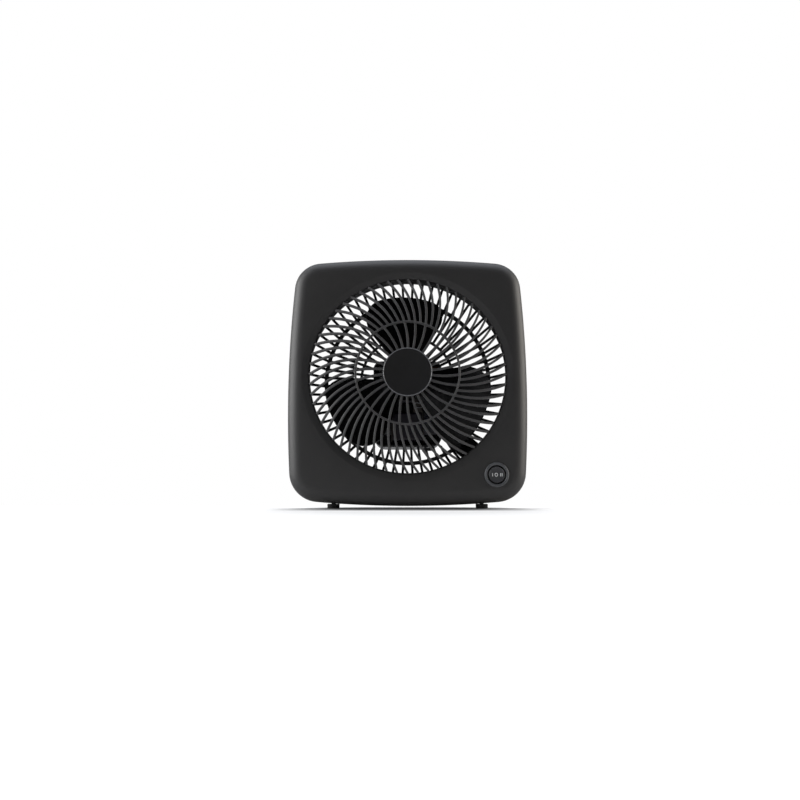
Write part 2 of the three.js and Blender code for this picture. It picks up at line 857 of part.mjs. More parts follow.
function wireCover() {
  const start = pocketHalfWidth * Math.SQRT2 + pocketWall;
  const end = throatRadius - 4 * fitGap;
  const front = channelFrontDepth + fitGap + channelCoverThickness;
  const back = channelFrontDepth + fitGap;
  return radialBar(
    [
      [start, rearPlaneDepth - front],
      [bowlBendRadius, rearPlaneDepth - front],
      [end, bowlDepth(end) - front],
      [end, bowlDepth(end) - back],
      [bowlBendRadius, rearPlaneDepth - back],
      [start, rearPlaneDepth - back],
    ],
    channelWidth,
    channelAngle,
  );
}

// Fan rotor: three pitched blades on a cup-shaped hub, open at the back

function bladeSection(radius) {
  const past = Math.max(radius - (bladeTipRadius - bladeCornerRadius), 0);
  const shrink = bladeCornerRadius - Math.sqrt(Math.max(bladeCornerRadius ** 2 - past ** 2, 0));
  const lead = rad(bladeRestAngle + bladeLeadingAngle) + shrink / radius;
  const trail = rad(bladeRestAngle + bladeTrailingAngle) - shrink / radius;
  const full = rad(bladeTrailingAngle - bladeLeadingAngle);
  const way = (radius - rotorHubRadius) / (bladeTipRadius - rotorHubRadius);
  const thickness = bladeRootThickness + (bladeTipThickness - bladeRootThickness) * way;
  const place = (i, offset) => {
    const angle = lead + ((trail - lead) * i) / chordSteps;
    const share = (angle - rad(bladeRestAngle + bladeLeadingAngle)) / full;
    const depth = bladeMiddleDepth + bladeHalfPitch * (1 - 2 * share)
      + bladeCamber * 4 * share * (1 - share) + offset;
    return new THREE.Vector3(radius * Math.cos(angle), depth, radius * Math.sin(angle));
  };
  const ring = [];
  for (let i = 0; i <= chordSteps; i++) ring.push(place(i, -thickness / 2));
  for (let i = chordSteps; i >= 0; i--) ring.push(place(i, thickness / 2));
  return ring;
}

function fanRotor() {
  const straightEnd = bladeTipRadius - bladeCornerRadius;
  const rootRadius = rotorHubRadius - rotorHubWall / 2;
  const radii = [rootRadius, (rootRadius + straightEnd) / 2, straightEnd];
  const cornerStations = 5;
  for (let i = 1; i <= cornerStations; i++) {
    radii.push(straightEnd + bladeCornerRadius * Math.sin(((Math.PI / 2) * i) / cornerStations));
  }
  const blade = bladeLoft(radii.map(bladeSection));
  const blades = [];
  for (let i = 0; i < bladeCount; i++) blades.push(blade.rotate([0, (-360 * i) / bladeCount, 0]));
  const bore = shaftRadius + fitGap;
  const inside = rotorHubFront + rotorHubWall;
  const hub = turned(
    [
      [0, rotorHubFront],
      [rotorHubRadius - rotorHubRound, rotorHubFront],
      [rotorHubRadius, rotorHubFront + rotorHubRound],
      [rotorHubRadius, rotorHubRear],
      [rotorHubRadius - rotorHubWall, rotorHubRear],
      [rotorHubRadius - rotorHubWall, inside + rotorHubRound],
      [rotorBossRadius, inside],
      [rotorBossRadius, rotorHubRear],
      [bore, rotorHubRear],
      [bore, shaftFront - fitGap],
      [0, shaftFront - fitGap],
    ],
    wideRoundSteps,
  );
  return joined([...blades, hub]);
}

// The spring ring that grips the rotor's boss on the shaft.
function rotorRetainer() {
  const back = rotorHubRear - retainerLength / 2;
  return hoop(rotorBossRadius + fitGap, retainerRadius, back - retainerLength, back, roundSteps);
}

// Motor

function statorCore() {
  const shape = roundedOutline(-coreHalfWidth, coreHalfWidth, -coreBottom, coreTop, shadingBar);
  const bore = new THREE.Path();
  bore.absarc(0, 0, statorBoreRadius, 0, 2 * Math.PI, true);
  const window = new THREE.Path([
    new THREE.Vector2(-coreWindowHalfWidth, -coreBottom + coreYoke),
    new THREE.Vector2(-coreWindowHalfWidth, -coreWindowTop),
    new THREE.Vector2(coreWindowHalfWidth, -coreWindowTop),
    new THREE.Vector2(coreWindowHalfWidth, -coreBottom + coreYoke),
  ]);
  shape.holes.push(window);
  const body = plate(shape, coreFront, coreRear);
  const cuts = [disc(statorBoreRadius, coreFront - cutOverrun, coreRear + cutOverrun, roundSteps + 4)];
  for (const side of [-1, 1]) {
    cuts.push(
      disc(motorScrewRadius + fitGap, coreFront - cutOverrun, coreRear + cutOverrun, smallRoundSteps)
        .translate(side * motorScrewSpan, 0, 0),
    );
    const middle = side * shadingMiddle;
    const half = shadingHeight / 2 + fitGap;
    const near = side * (shadingInner - fitGap);
    const far = side * (shadingInner + shadingBar + fitGap);
    cuts.push(box([Math.min(near, far), coreFront - cutOverrun, middle - half],
      [Math.max(near, far), coreRear + cutOverrun, middle + half]));
  }
  return body.subtract(joined(cuts));
}

// A copper loop through the core's slot and round its outer edge.
function shadingRing(side) {
  const near = side * shadingInner;
  const far = side * (coreHalfWidth + fitGap + shadingBar);
  const front = coreFront - fitGap - shadingBar;
  const back = coreRear + fitGap + shadingBar;
  const low = side * shadingMiddle - shadingHeight / 2;
  const [left, right] = [Math.min(near, far), Math.max(near, far)];
  const outer = box([left, front, low], [right, back, low + shadingHeight]);
  const inner = box([left + shadingBar, front + shadingBar, low - cutOverrun],
    [right - shadingBar, back - shadingBar, low + shadingHeight + cutOverrun]);
  return outer.subtract(inner);
}

const yokeTop = -coreBottom + coreYoke;
const bobbinHalfLength = coreWindowHalfWidth - fitGap;

// A spool round the yoke: rectangular sleeve with a flange at each end.
function coilBobbin() {
  const inner = [fitGap, fitGap + bobbinWall, fitGap + bobbinWall + coilBuild];
  const block = (half, grow) => box([-half, coreFront - grow, -coreBottom - grow],
    [half, coreRear + grow, yokeTop + grow]);
  const flange = (low, high) => box([low, coreFront - inner[2], -coreBottom - inner[2]],
    [high, coreRear + inner[2], yokeTop + inner[2]]);
  const sleeve = block(bobbinHalfLength, inner[1]);
  const left = flange(-bobbinHalfLength, -bobbinHalfLength + bobbinFlange);
  const right = flange(bobbinHalfLength - bobbinFlange, bobbinHalfLength);
  return joined([sleeve, left, right]).subtract(block(bobbinHalfLength + cutOverrun, inner[0]));
}

function statorCoil() {
  const half = bobbinHalfLength - bobbinFlange - fitGap;
  const inner = 2 * fitGap + bobbinWall;
  const outer = fitGap + bobbinWall + coilBuild - fitGap;
  const ring = roundedOutline(coreFront - outer, coreRear + outer, -coreBottom - outer,
    yokeTop + outer, coilBuild / 2);
  ring.holes.push(new THREE.Path([
    new THREE.Vector2(coreFront - inner, -coreBottom - inner),
    new THREE.Vector2(coreFront - inner, yokeTop + inner),
    new THREE.Vector2(coreRear + inner, yokeTop + inner),
    new THREE.Vector2(coreRear + inner, -coreBottom - inner),
  ]));
  const geometry = new THREE.ExtrudeGeometry(ring, {
    depth: 2 * half,
    bevelEnabled: false,
    curveSegments: cornerSteps,
  });
  geometry.translate(0, 0, -half);
  geometry.rotateX(Math.PI / 2);
  geometry.rotateZ(Math.PI / 2);
  return toSolid(geometry);
}

function rotorCore() {
  return hoop(shaftRadius + fitGap, rotorCoreRadius, coreFront, coreRear, roundSteps + 4);
}

const frontPlate = coreFront - bracketStandoff - bracketThickness;
const rearPlate = coreRear + bracketStandoff;
const frontCup = frontPlate + bracketThickness + bearingCupWall - bearingCupLength;
const rearCup = rearPlate - bearingCupWall;

function motorShaft() {
  const end = rearCup + bearingCupLength - bearingCupWall - fitGap;
  return disc(shaftRadius, shaftFront, end, smallRoundSteps);
}

// A bracket is an arm with two feet on the core and a cup for the bush in its middle.
function bearingBracket(plateFront, footFrom, footTo, cupFrom, open) {
  const reach = motorScrewSpan + bracketFootRadius;
  const half = bracketArmWidth / 2;
  const arm = plate(roundedOutline(-reach, reach, -half, half, bracketFootRadius), plateFront,
    plateFront + bracketThickness);
  const feet = [-1, 1].map((side) =>
    disc(bracketFootRadius, footFrom, footTo, smallRoundSteps).translate(side * motorScrewSpan, 0, 0),
  );
  const cup = disc(bearingCupRadius, cupFrom, cupFrom + bearingCupLength, roundSteps);
  const holes = [-1, 1].map((side) =>
    disc(motorScrewRadius + fitGap, plateFront - bearingCupLength, footTo + bearingCupLength,
      smallRoundSteps).translate(side * motorScrewSpan, 0, 0),
  );
  const seatFrom = open > 0 ? cupFrom + bearingCupWall : cupFrom - cutOverrun;
  const seatTo = seatFrom + bearingCupLength - bearingCupWall + cutOverrun;
  holes.push(disc(bushRadius + fitGap, seatFrom, seatTo, roundSteps));
  if (open > 0) holes.push(disc(shaftRadius + 2 * fitGap, cupFrom - cutOverrun, seatTo, smallRoundSteps));
  return joined([arm, ...feet, cup]).subtract(joined(holes));
}

function frontBracket() {
  return bearingBracket(frontPlate, frontPlate + bracketThickness / 2, coreFront - fitGap, frontCup, 1);
}

function rearBracket() {
  return bearingBracket(rearPlate, coreRear + fitGap, rearPlate + bracketThickness / 2, rearCup, -1);
}

// A sintered bush with a crowned outside, so that it can line itself up in its cup.
function bush(front) {
  const length = bearingCupLength - bearingCupWall - 2 * fitGap;
  const bore = shaftRadius + fitGap;
  return turned(
    [
      [bore, front],
      [bushRadius - bearingCupWall, front],
      [bushRadius, front + length / 3],
      [bushRadius, front + (2 * length) / 3],
      [bushRadius - bearingCupWall, front + length],
      [bore, front + length],
      [bore, front],
    ],
    roundSteps - 4,
  );
}

function thrustWasher(front) {
  return hoop(shaftRadius + fitGap, washerRadius, front, front + washerThickness, roundSteps - 4);
}

function motorScrew() {
  const headBack = frontPlate - fitGap;
  return turned(
    [
      [0, headBack - motorScrewHeadHeight],
      [motorScrewHeadRadius, headBack - motorScrewHeadHeight],
      [motorScrewHeadRadius, headBack],
      [motorScrewRadius, headBack],
      [motorScrewRadius, pocketFloor],
      [0, pocketFloor],
    ],
    smallRoundSteps,
  );
}

// Switch

function switchBody() {
  const back = -fitGap;
  const front = back - bezelThickness;
  return turned(
    [
      [0, rockerWellDepth],
      [bezelInnerRadius, rockerWellDepth],
      [bezelInnerRadius, front + bezelChamfer],
      [bezelInnerRadius + bezelChamfer, front],
      [bezelRadius - bezelChamfer, front],
      [bezelRadius, front + bezelChamfer],
      [bezelRadius, back],
      [barrelRadius, back],
      [barrelRadius, barrelDepth],
      [0, barrelDepth],
    ],
    roundSteps + 4,
  );
}

function switchRocker() {
  const front = -rockerProud;
  const disk = turned(
    [
      [0, front + rockerDish],
      [rockerRadius - rockerDish, front],
      [rockerRadius, front + rockerDish],
      [rockerRadius, 0],
      [rockerBackRadius, rockerBackDepth],
      [0, rockerBackDepth],
    ],
    roundSteps,
  );
  const pins = new THREE.CylinderGeometry(rockerPinRadius, rockerPinRadius,
    2 * (bezelInnerRadius - 2 * fitGap), smallRoundSteps);
  pins.rotateX(Math.PI / 2);
  pins.translate(0, rockerPivotDepth, 0);
  return disk.add(toSolid(pins));
}

function switchTerminal() {
  const front = barrelDepth + fitGap;
  return box([-terminalThickness / 2, front, -terminalWidth / 2],
    [terminalThickness / 2, front + terminalLength, terminalWidth / 2]);
}

// Small pieces

function cordInletBush() {
  const under = -pocketBottom - fitGap;
  const profile = [
    [inletBoreRadius, under - inletFlangeThickness],
    [inletFlangeRadius, under - inletFlangeThickness],
    [inletFlangeRadius, under],
    [inletNeckRadius, under],
    [inletNeckRadius, -pocketBottom + pocketWall + inletFlangeThickness],
    [inletBoreRadius, -pocketBottom + pocketWall + inletFlangeThickness],
    [inletBoreRadius, under - inletFlangeThickness],
  ];
  return turned(profile, roundSteps - 4).rotate([90, 0, 0]);
}

// A rubber foot with its pad on the floor and a stem that plugs into the housing.
function foot(across) {
  const footHeight = fanAxisHeight + undersideAt(Math.abs(across) - footRadius) - fitGap;
  const stemTop = footHeight + footStemLength;
  return turned(
    [
      [0, 0],
      [footRadius - footRound, 0],
      [footRadius, footRound],
      [footRadius, footHeight],
      [footStemRadius, footHeight],
      [footStemRadius, stemTop],
      [0, stemTop],
    ],
    roundSteps - 4,
  ).rotate([90, 0, 0]).translate(across, 0, -fanAxisHeight);
}

function housingScrew() {
  const seat = screwWellDepth + fitGap;
  return turned(
    [
      [0, seat - wall - screwShankLength],
      [screwShankRadius, seat - wall - screwShankLength + screwShankRadius],
      [screwShankRadius, seat],
      [screwHeadRadius, seat],
      [screwHeadRadius, seat + screwHeadHeight],
      [0, seat + screwHeadHeight],
    ],
    smallRoundSteps,
  );
}

// A lead through its points, in X, depth and Z, with a round section.
function lead(points) {
  const path = new THREE.CatmullRomCurve3(points.map((point) => new THREE.Vector3(...point)));
  const corners = [];
  for (let i = 0; i < leadSides; i++) {
    const angle = (2 * Math.PI * i) / leadSides;
    corners.push(new THREE.Vector2(leadRadius * Math.cos(angle), leadRadius * Math.sin(angle)));
  }
  const geometry = new THREE.ExtrudeGeometry(new THREE.Shape(corners), {
    steps: leadSteps,
    bevelEnabled: false,
    extrudePath: path,
  });
  return toSolid(geometry);
}

// From the coil's side through the channel to a terminal of the switch.
function switchLead(rank) {
  const turn = rad(channelAngle);
  const out = [Math.cos(turn), Math.sin(turn)];
  const across = [-Math.sin(turn), Math.cos(turn)];
  const offset = rank * leadPitch;
  const at = (radius, depth) => [
    out[0] * radius + across[0] * offset,
    depth,
    out[1] * radius + across[1] * offset,
  ];
  const gate = clampFront + clampThickness / 2;
  const terminalEnd = barrelDepth + fitGap + terminalLength;
  const coilEdge = bobbinHalfLength + fitGap + leadRadius;
  const start = frontPlate + bracketThickness;
  const across0 = switchAcross + rank * terminalPitch;
  return [
    [coilEdge, start, yokeTop + offset],
    [coilEdge + leadPitch, start, yokeTop + offset],
    at(pocketHalfWidth * Math.SQRT2, rearPlaneDepth + leadRadius),
    at(outerRingRadius - channelWidth, rearPlaneDepth + leadRadius),
    at(outerRingRadius, rearPlaneDepth + leadRadius / 2),
    at(throatRadius, bowlDepth(throatRadius) + leadRadius),
    at(clampRadius + ledgeWidth, gate),
    [across0 - leadPitch, terminalEnd + leadPitch, -switchDrop + terminalWidth],
    [across0, terminalEnd + leadRadius + fitGap, -switchDrop],
  ];
}

// Materials

function plastic(color, roughness) {
  return new THREE.MeshStandardMaterial({ color, roughness, metalness: 0 });
}

function metal(color, roughness) {
  return new THREE.MeshStandardMaterial({ color, roughness, metalness: 1 });
}

const housingPlastic = plastic(0x2b2c2e, 0.62);
const grillePlastic = plastic(0x3a3b3d, 0.55);
const capPlastic = plastic(0x1c1c1e, 0.6);
const rotorPlastic = plastic(0x0d0d10, 0.35);
const rubber = plastic(0x141414, 0.85);
const steel = metal(0x8d9096, 0.4);
const laminations = metal(0x4a4b50, 0.55);
const copper = metal(0xb06a3c, 0.35);
const bronze = metal(0x9a7440, 0.5);
const zinc = metal(0xa8abb0, 0.45);
const coilTape = plastic(0x16131a, 0.5);
const nylon = plastic(0xd8d4c8, 0.5);
const leadVinyl = plastic(0x2f3e66, 0.5);

// The assembly: everything hangs on a group whose middle is the fan's axis at the front face

const fan = new THREE.Group();
const housing = new THREE.Group();
const spinning = new THREE.Group();
const motor = new THREE.Group();
const switchGroup = new THREE.Group();
fan.add(housing, spinning, motor, switchGroup);
fan.position.set(0, -depthMiddle, fanAxisHeight);
switchGroup.position.set(switchAcross, 0, -switchDrop);

function place(group, name, solid, material, position = [0, 0, 0]) {
  const mesh = new THREE.Mesh(toGeometry(solid), material);
  mesh.name = name;
  mesh.position.set(...position);
  group.add(mesh);
}

place(housing, "front_housing", frontHousing(), housingPlastic);
place(housing, "rear_housing", rearHousing(), housingPlastic);
place(housing, "front_grille", frontGrille(), grillePlastic);
place(housing, "duct_ring", ductRing(), grillePlastic);
place(housing, "hub_cap", hubCap(), capPlastic);
place(housing, "rear_grille", rearGrille(), grillePlastic);
place(housing, "motor_cover", motorCover(), grillePlastic);
place(housing, "wire_cover", wireCover(), grillePlastic);
place(housing, "cord_inlet_bush", cordInletBush(), rubber, [inletAcross, inletDepth, 0]);
for (const [name, across, depth] of footPlaces) {
  place(housing, `foot_${name}`, foot(across), rubber, [0, depth, 0]);
}
for (const [name, across, rise] of screwPlaces) {
  place(housing, `housing_screw_${name}`, housingScrew(), steel, [across, 0, rise]);
}

place(spinning, "fan_rotor", fanRotor(), rotorPlastic);
place(spinning, "rotor_retainer", rotorRetainer(), steel);
place(spinning, "motor_shaft", motorShaft(), steel);
place(spinning, "rotor_core", rotorCore(), laminations);
place(spinning, "thrust_washer_front", thrustWasher(coreFront - fitGap - washerThickness), nylon);
place(spinning, "thrust_washer_rear", thrustWasher(coreRear + fitGap), nylon);

const frontBushStart = frontCup + bearingCupWall + fitGap;
const rearBushStart = rearCup + fitGap;
place(motor, "stator_core", statorCore(), laminations);
place(motor, "shading_ring_upper", shadingRing(1), copper);
place(motor, "shading_ring_lower", shadingRing(-1), copper);
place(motor, "coil_bobbin", coilBobbin(), nylon);
place(motor, "stator_coil", statorCoil(), coilTape);
place(motor, "front_bracket", frontBracket(), zinc);
place(motor, "rear_bracket", rearBracket(), zinc);
place(motor, "front_bush", bush(frontBushStart), bronze);
place(motor, "rear_bush", bush(rearBushStart), bronze);
place(motor, "motor_screw_left", motorScrew(), steel, [-motorScrewSpan, 0, 0]);
place(motor, "motor_screw_right", motorScrew(), steel, [motorScrewSpan, 0, 0]);

place(switchGroup, "switch_body", switchBody(), capPlastic);
place(switchGroup, "switch_rocker", switchRocker(), capPlastic);
for (const [name, rank] of [["low", -1], ["common", 0], ["high", 1]]) {
  place(switchGroup, `switch_terminal_${name}`, switchTerminal(), steel, [rank * terminalPitch, 0, 0]);
  place(housing, `lead_${name}`, lead(switchLead(rank)), leadVinyl);
}

export default fan;
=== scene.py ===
# %% [markdown]
# This lesson dresses a small square box fan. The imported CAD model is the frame: every piece is
# made in the fan's own millimetres, measured from the middle of its axis at the front face, and
# then set down in the model's place. X is to the right, Y is to the back and Z is up.

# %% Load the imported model
import json
from math import asin, atan2, cos, degrees, hypot, pi, radians, sin, sqrt

import bmesh
import bpy
from mathutils import Matrix, Vector

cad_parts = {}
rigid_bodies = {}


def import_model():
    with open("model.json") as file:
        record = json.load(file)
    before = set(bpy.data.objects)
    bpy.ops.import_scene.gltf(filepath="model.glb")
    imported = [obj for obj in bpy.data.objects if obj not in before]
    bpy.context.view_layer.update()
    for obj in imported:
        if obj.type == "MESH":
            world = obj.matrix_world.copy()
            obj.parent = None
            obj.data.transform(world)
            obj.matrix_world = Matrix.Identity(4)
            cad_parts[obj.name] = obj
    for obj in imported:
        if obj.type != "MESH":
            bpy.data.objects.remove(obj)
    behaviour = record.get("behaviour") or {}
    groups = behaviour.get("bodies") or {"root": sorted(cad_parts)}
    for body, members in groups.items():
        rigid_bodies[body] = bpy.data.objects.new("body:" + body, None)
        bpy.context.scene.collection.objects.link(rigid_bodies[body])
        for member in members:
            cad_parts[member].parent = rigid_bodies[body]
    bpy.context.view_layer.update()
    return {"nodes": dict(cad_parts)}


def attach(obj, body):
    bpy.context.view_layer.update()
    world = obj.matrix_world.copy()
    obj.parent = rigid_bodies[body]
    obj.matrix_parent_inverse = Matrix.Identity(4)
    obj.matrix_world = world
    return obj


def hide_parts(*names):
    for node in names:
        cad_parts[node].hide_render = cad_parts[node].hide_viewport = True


for leftover in list(bpy.data.objects):
    bpy.data.objects.remove(leftover)
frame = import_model()

# %% [markdown]
# The camera stands where the photograph was taken from: a little above the table, two thirds of a
# metre in front, and tilted up, which is why the body seems to lean back. The shift follows the
# photograph's framing.

# %% Camera
scene = bpy.context.scene
# The fan's front face and its axis in the model's frame, in metres.
FACE_DEPTH, AXIS_HEIGHT = -0.0346, 0.1262
CAMERA_DISTANCE, CAMERA_HEIGHT, CAMERA_TILT = 0.6588, 0.0052, 9.5
camera_data = bpy.data.cameras.new("camera")
camera_data.sensor_width = 36
camera_data.lens = 31.725
camera_data.shift_x = -0.0095
camera_data.shift_y = -0.01875
camera_data.clip_start = 0.01
camera = bpy.data.objects.new("camera", camera_data)
camera.location = (0, FACE_DEPTH - CAMERA_DISTANCE, CAMERA_HEIGHT)
camera.rotation_euler = (radians(90 + CAMERA_TILT), 0, 0)
scene.collection.objects.link(camera)
scene.camera = camera
print("camera to front face:", round(CAMERA_DISTANCE * 1000), "mm")

# %% [markdown]
# Materials are built from nodes. One function adds a node with its settings and its links, and
# another turns a screen colour, such as a colour picker gives, into the light that it stands for.
# Every finish is two close colours that drift into each other, under a grain of a real size.

# %% Material helpers
def to_linear(code):
    """A colour such as "2b2c2e" as the linear values a shader works with."""
    values = [int(code[i : i + 2], 16) / 255 for i in (0, 2, 4)]
    return [v / 12.92 if v <= 0.04045 else ((v + 0.055) / 1.055) ** 2.4 for v in values] + [1]


def add_node(tree, kind, links=None, **settings):
    """Adds a node, sets its properties or sockets by name, and links other sockets into it."""
    node = tree.nodes.new(kind)
    for key, value in settings.items():
        if hasattr(node, key) and key not in node.inputs:
            setattr(node, key, value)
        else:
            node.inputs[key.replace("_", " ")].default_value = value
    for key, source in (links or {}).items():
        tree.links.new(source, node.inputs[key])
    return node


def new_finish(name, **optics):
    """A material with its shader, the shader's optics and its output, ready for detail."""
    finish = bpy.data.materials.new(name)
    finish.use_nodes = True
    tree = finish.node_tree
    tree.nodes.clear()
    shader = add_node(tree, "ShaderNodeBsdfPrincipled", **optics)
    add_node(tree, "ShaderNodeOutputMaterial", {"Surface": shader.outputs["BSDF"]})
    print("finish:", name)
    return finish, tree, shader


def mottled(tree, shader, dark, light, size_mm):
    """Two close colours drift into each other over spots of a real size."""
    place = add_node(tree, "ShaderNodeTexCoord")
    spots = add_node(
        tree,
        "ShaderNodeTexNoise",
        {"Vector": place.outputs["Object"]},
        Scale=1000 / size_mm,
        Detail=4.0,
    )
    ramp = add_node(tree, "ShaderNodeValToRGB", {"Fac": spots.outputs["Fac"]})
    ramp.color_ramp.elements[0].position = 0.3
    ramp.color_ramp.elements[1].position = 0.7
    ramp.color_ramp.elements[0].color = to_linear(dark)
    ramp.color_ramp.elements[1].color = to_linear(light)
    tree.links.new(ramp.outputs["Color"], shader.inputs["Base Color"])
    return place


def grained(tree, shader, place, size_mm, height_mm, smooth, rough):
    """A fine grain that raises the surface and breaks up its gloss."""
    grain = add_node(
        tree,
        "ShaderNodeTexNoise",
        {"Vector": place.outputs["Object"]},
        Scale=1000 / size_mm,
        Detail=3.0,
        Roughness=0.6,
    )
    gloss = add_node(
        tree, "ShaderNodeMapRange", {"Value": grain.outputs["Fac"]}, To_Min=smooth, To_Max=rough
    )
    tree.links.new(gloss.outputs["Result"], shader.inputs["Roughness"])
    bump = add_node(
        tree,
        "ShaderNodeBump",
        {"Height": grain.outputs["Fac"]},
        Distance=height_mm / 1000,
        Strength=1.0,
    )
    tree.links.new(bump.outputs["Normal"], shader.inputs["Normal"])


def grained_finish(name, colours, spots_mm, grain_mm, relief_mm, gloss, **optics):
    """Two drifting colours under a fine grain. Spots, grain and relief are in millimetres."""
    finish, tree, shader = new_finish(name, **optics)
    place = mottled(tree, shader, *colours, spots_mm)
    grained(tree, shader, place, grain_mm, relief_mm, *gloss)
    return finish

# %% [markdown]
# Spark-eroded ABS: the moulds of such a body are eroded to a fine matt grain, a few tenths of a
# millimetre across. It makes the black look charcoal, with broad soft lights on every curve. The
# grain is drawn 0.9 mm across here, because a finer one would not show.

# %% Body plastic
eroded_abs = grained_finish(
    "spark_eroded_abs", ("171616", "1b1a1a"), 26, 0.9, 0.035, (0.5, 0.62), IOR=1.54
)

# The rear shell comes from the same kind of mould. Its black is a shade lighter and cooler.
rear_abs = grained_finish(
    "spark_eroded_rear_abs", ("1b1c1e", "202123"), 22, 0.9, 0.035, (0.52, 0.64), IOR=1.54
)

# %% [markdown]
# The grille is moulded in a smoother polypropylene, greyer than the body. Its ribs catch the light
# on their fronts.

# %% Grille plastic
rib_plastic = grained_finish(
    "moulded_polypropylene", ("343434", "3b3a3b"), 9, 1.4, 0.012, (0.38, 0.5), IOR=1.49
)

dark_rib_plastic = grained_finish(
    "moulded_dark_polypropylene", ("141416", "19191b"), 12, 1.4, 0.012, (0.42, 0.55), IOR=1.49
)

# %% [markdown]
# The hub cap is satin, its thin rim polished in the mould and painted lighter as a highlight.

# %% Hub cap plastics
cap_plastic = grained_finish(
    "satin_moulded_abs",
    ("0c0c0d", "101011"),
    14,
    0.7,
    0.02,
    (0.48, 0.6),
    IOR=1.54,
    Specular_IOR_Level=0.25,
)

# The rim's colour is painted far lighter than the cap's as a painted highlight; its gloss is real.
rim_highlight_plastic = grained_finish(
    "polished_abs_painted_highlight", ("4a4b4e", "535457"), 6, 2.0, 0.004, (0.22, 0.32), IOR=1.54
)

# %% [markdown]
# Rotor blades are thin glossy mouldings. Their surface ripples a little where the plastic cooled.

# %% Rotor plastic
blade_plastic = grained_finish(
    "glossy_moulded_san",
    ("050506", "08080a"),
    18,
    14.0,
    0.05,
    (0.2, 0.28),
    IOR=1.57,
    Specular_IOR_Level=0.2,
)

# %% [markdown]
# The switch is moulded nylon, a little greyer in the bezel than in the button, and its marks are
# printed in white. The feet are dull black rubber. Each has its own fine grain.

# %% Switch and rubber
bezel_plastic = grained_finish(
    "moulded_nylon_bezel", ("3b3d40", "434548"), 5, 0.8, 0.012, (0.36, 0.48)
)

rocker_plastic = grained_finish(
    "moulded_nylon_rocker", ("28292c", "2f3033"), 4, 0.8, 0.012, (0.38, 0.5)
)

mark_paint = grained_finish("pad_printed_white", ("c4c6c6", "d6d8d8"), 2, 0.5, 0.006, (0.5, 0.62))

foot_rubber = grained_finish("moulded_rubber", ("121212", "1a1a1a"), 4, 0.8, 0.03, (0.72, 0.86))

# %% [markdown]
# Metals and insulation of the motor. A metal's colour is in its reflection, so each metal is fully
# metallic and keeps the default IOR. Colour and roughness tell the zinc plating, stacked sheets,
# cast zinc, tarnished copper and sintered bronze apart. Tape, nylon and vinyl aren't metallic.

# %% Metals and the motor's insulation
zinc_steel = grained_finish(
    "zinc_plated_steel", ("9b9da0", "b4b6b8"), 5, 0.8, 0.006, (0.28, 0.42), Metallic=1
)

core_steel = grained_finish(
    "stacked_core_steel", ("4c4c50", "66666a"), 6, 0.5, 0.03, (0.42, 0.6), Metallic=1
)

bare_copper = grained_finish(
    "tarnished_copper_bar", ("5a4536", "6e5644"), 5, 0.8, 0.008, (0.42, 0.56), Metallic=1
)

bush_bronze = grained_finish(
    "sintered_bronze", ("7f6237", "9c7c49"), 2, 0.4, 0.03, (0.4, 0.58), Metallic=1
)

cast_zinc = grained_finish(
    "die_cast_zinc", ("8e9092", "a3a5a7"), 4, 0.6, 0.025, (0.38, 0.55), Metallic=1
)

coil_tape = grained_finish("wound_polyester_tape", ("17131c", "211b28"), 8, 1.6, 0.03, (0.3, 0.46))

bobbin_nylon = grained_finish("brown_glass_nylon", ("2b2622", "352f2a"), 6, 0.9, 0.01, (0.4, 0.52))

lead_vinyl = grained_finish("vinyl_insulation", ("161c30", "1c2440"), 8, 1.5, 0.008, (0.34, 0.46))
print("finishes:", len(bpy.data.materials))

# %% [markdown]
# Making pieces. Each one is shaped in a bmesh in the fan's millimetres. A finished mesh has its
# doubles merged and its faces turned out, then it is scaled and set down in the model's frame. A
# fine bevel softens the edges, as a mould does.

# %% Piece helpers
PLACE = Matrix.Translation((0, FACE_DEPTH, AXIS_HEIGHT)) @ Matrix.Scale(0.001, 4)
# Points closer than this many millimetres merge. Edges sharper than CREASE degrees stay sharp.
MERGE_MM = 0.005
CREASE = 38


def settle(bm, name, finish, crease=CREASE):
    """Turns a bmesh in millimetres into an object in the model's frame."""
    bmesh.ops.remove_doubles(bm, verts=bm.verts, dist=MERGE_MM)
    bmesh.ops.recalc_face_normals(bm, faces=bm.faces)
    for face in bm.faces:
        face.smooth = True
    for edge in bm.edges:
        edge.smooth = len(edge.link_faces) == 2 and edge.calc_face_angle(0) < radians(crease)
    bm.transform(PLACE)
    mesh = bpy.data.meshes.new(name)
    bm.to_mesh(mesh)
    bm.free()
    piece = bpy.data.objects.new(name, mesh)
    scene.collection.objects.link(piece)
    mesh.materials.append(finish)
    return piece


def soften(piece, width_mm, segments=2):
    """Rounds the edges of a finished piece, like the radius in a mould."""
    bevel = piece.modifiers.new("mould_radius", "BEVEL")
    bevel.width = width_mm / 1000
    bevel.segments = segments
    bevel.limit_method = "ANGLE"
    bevel.angle_limit = radians(CREASE)
    bevel.use_clamp_overlap = True


def hand_over(piece, body, slot, *nodes):
    """Puts a piece on its body and hides the CAD nodes it stands for. The slot is not used."""
    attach(piece, body)
    if nodes:
        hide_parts(*nodes)
    print(piece.name, "faces:", len(piece.data.polygons))

# %% [markdown]
# Most mouldings here are round, so one helper spins half of a section about the fan's axis, and
# others place a rod or a block. A boolean then cuts holes or joins pieces, like a cutter at work on
# a blank.

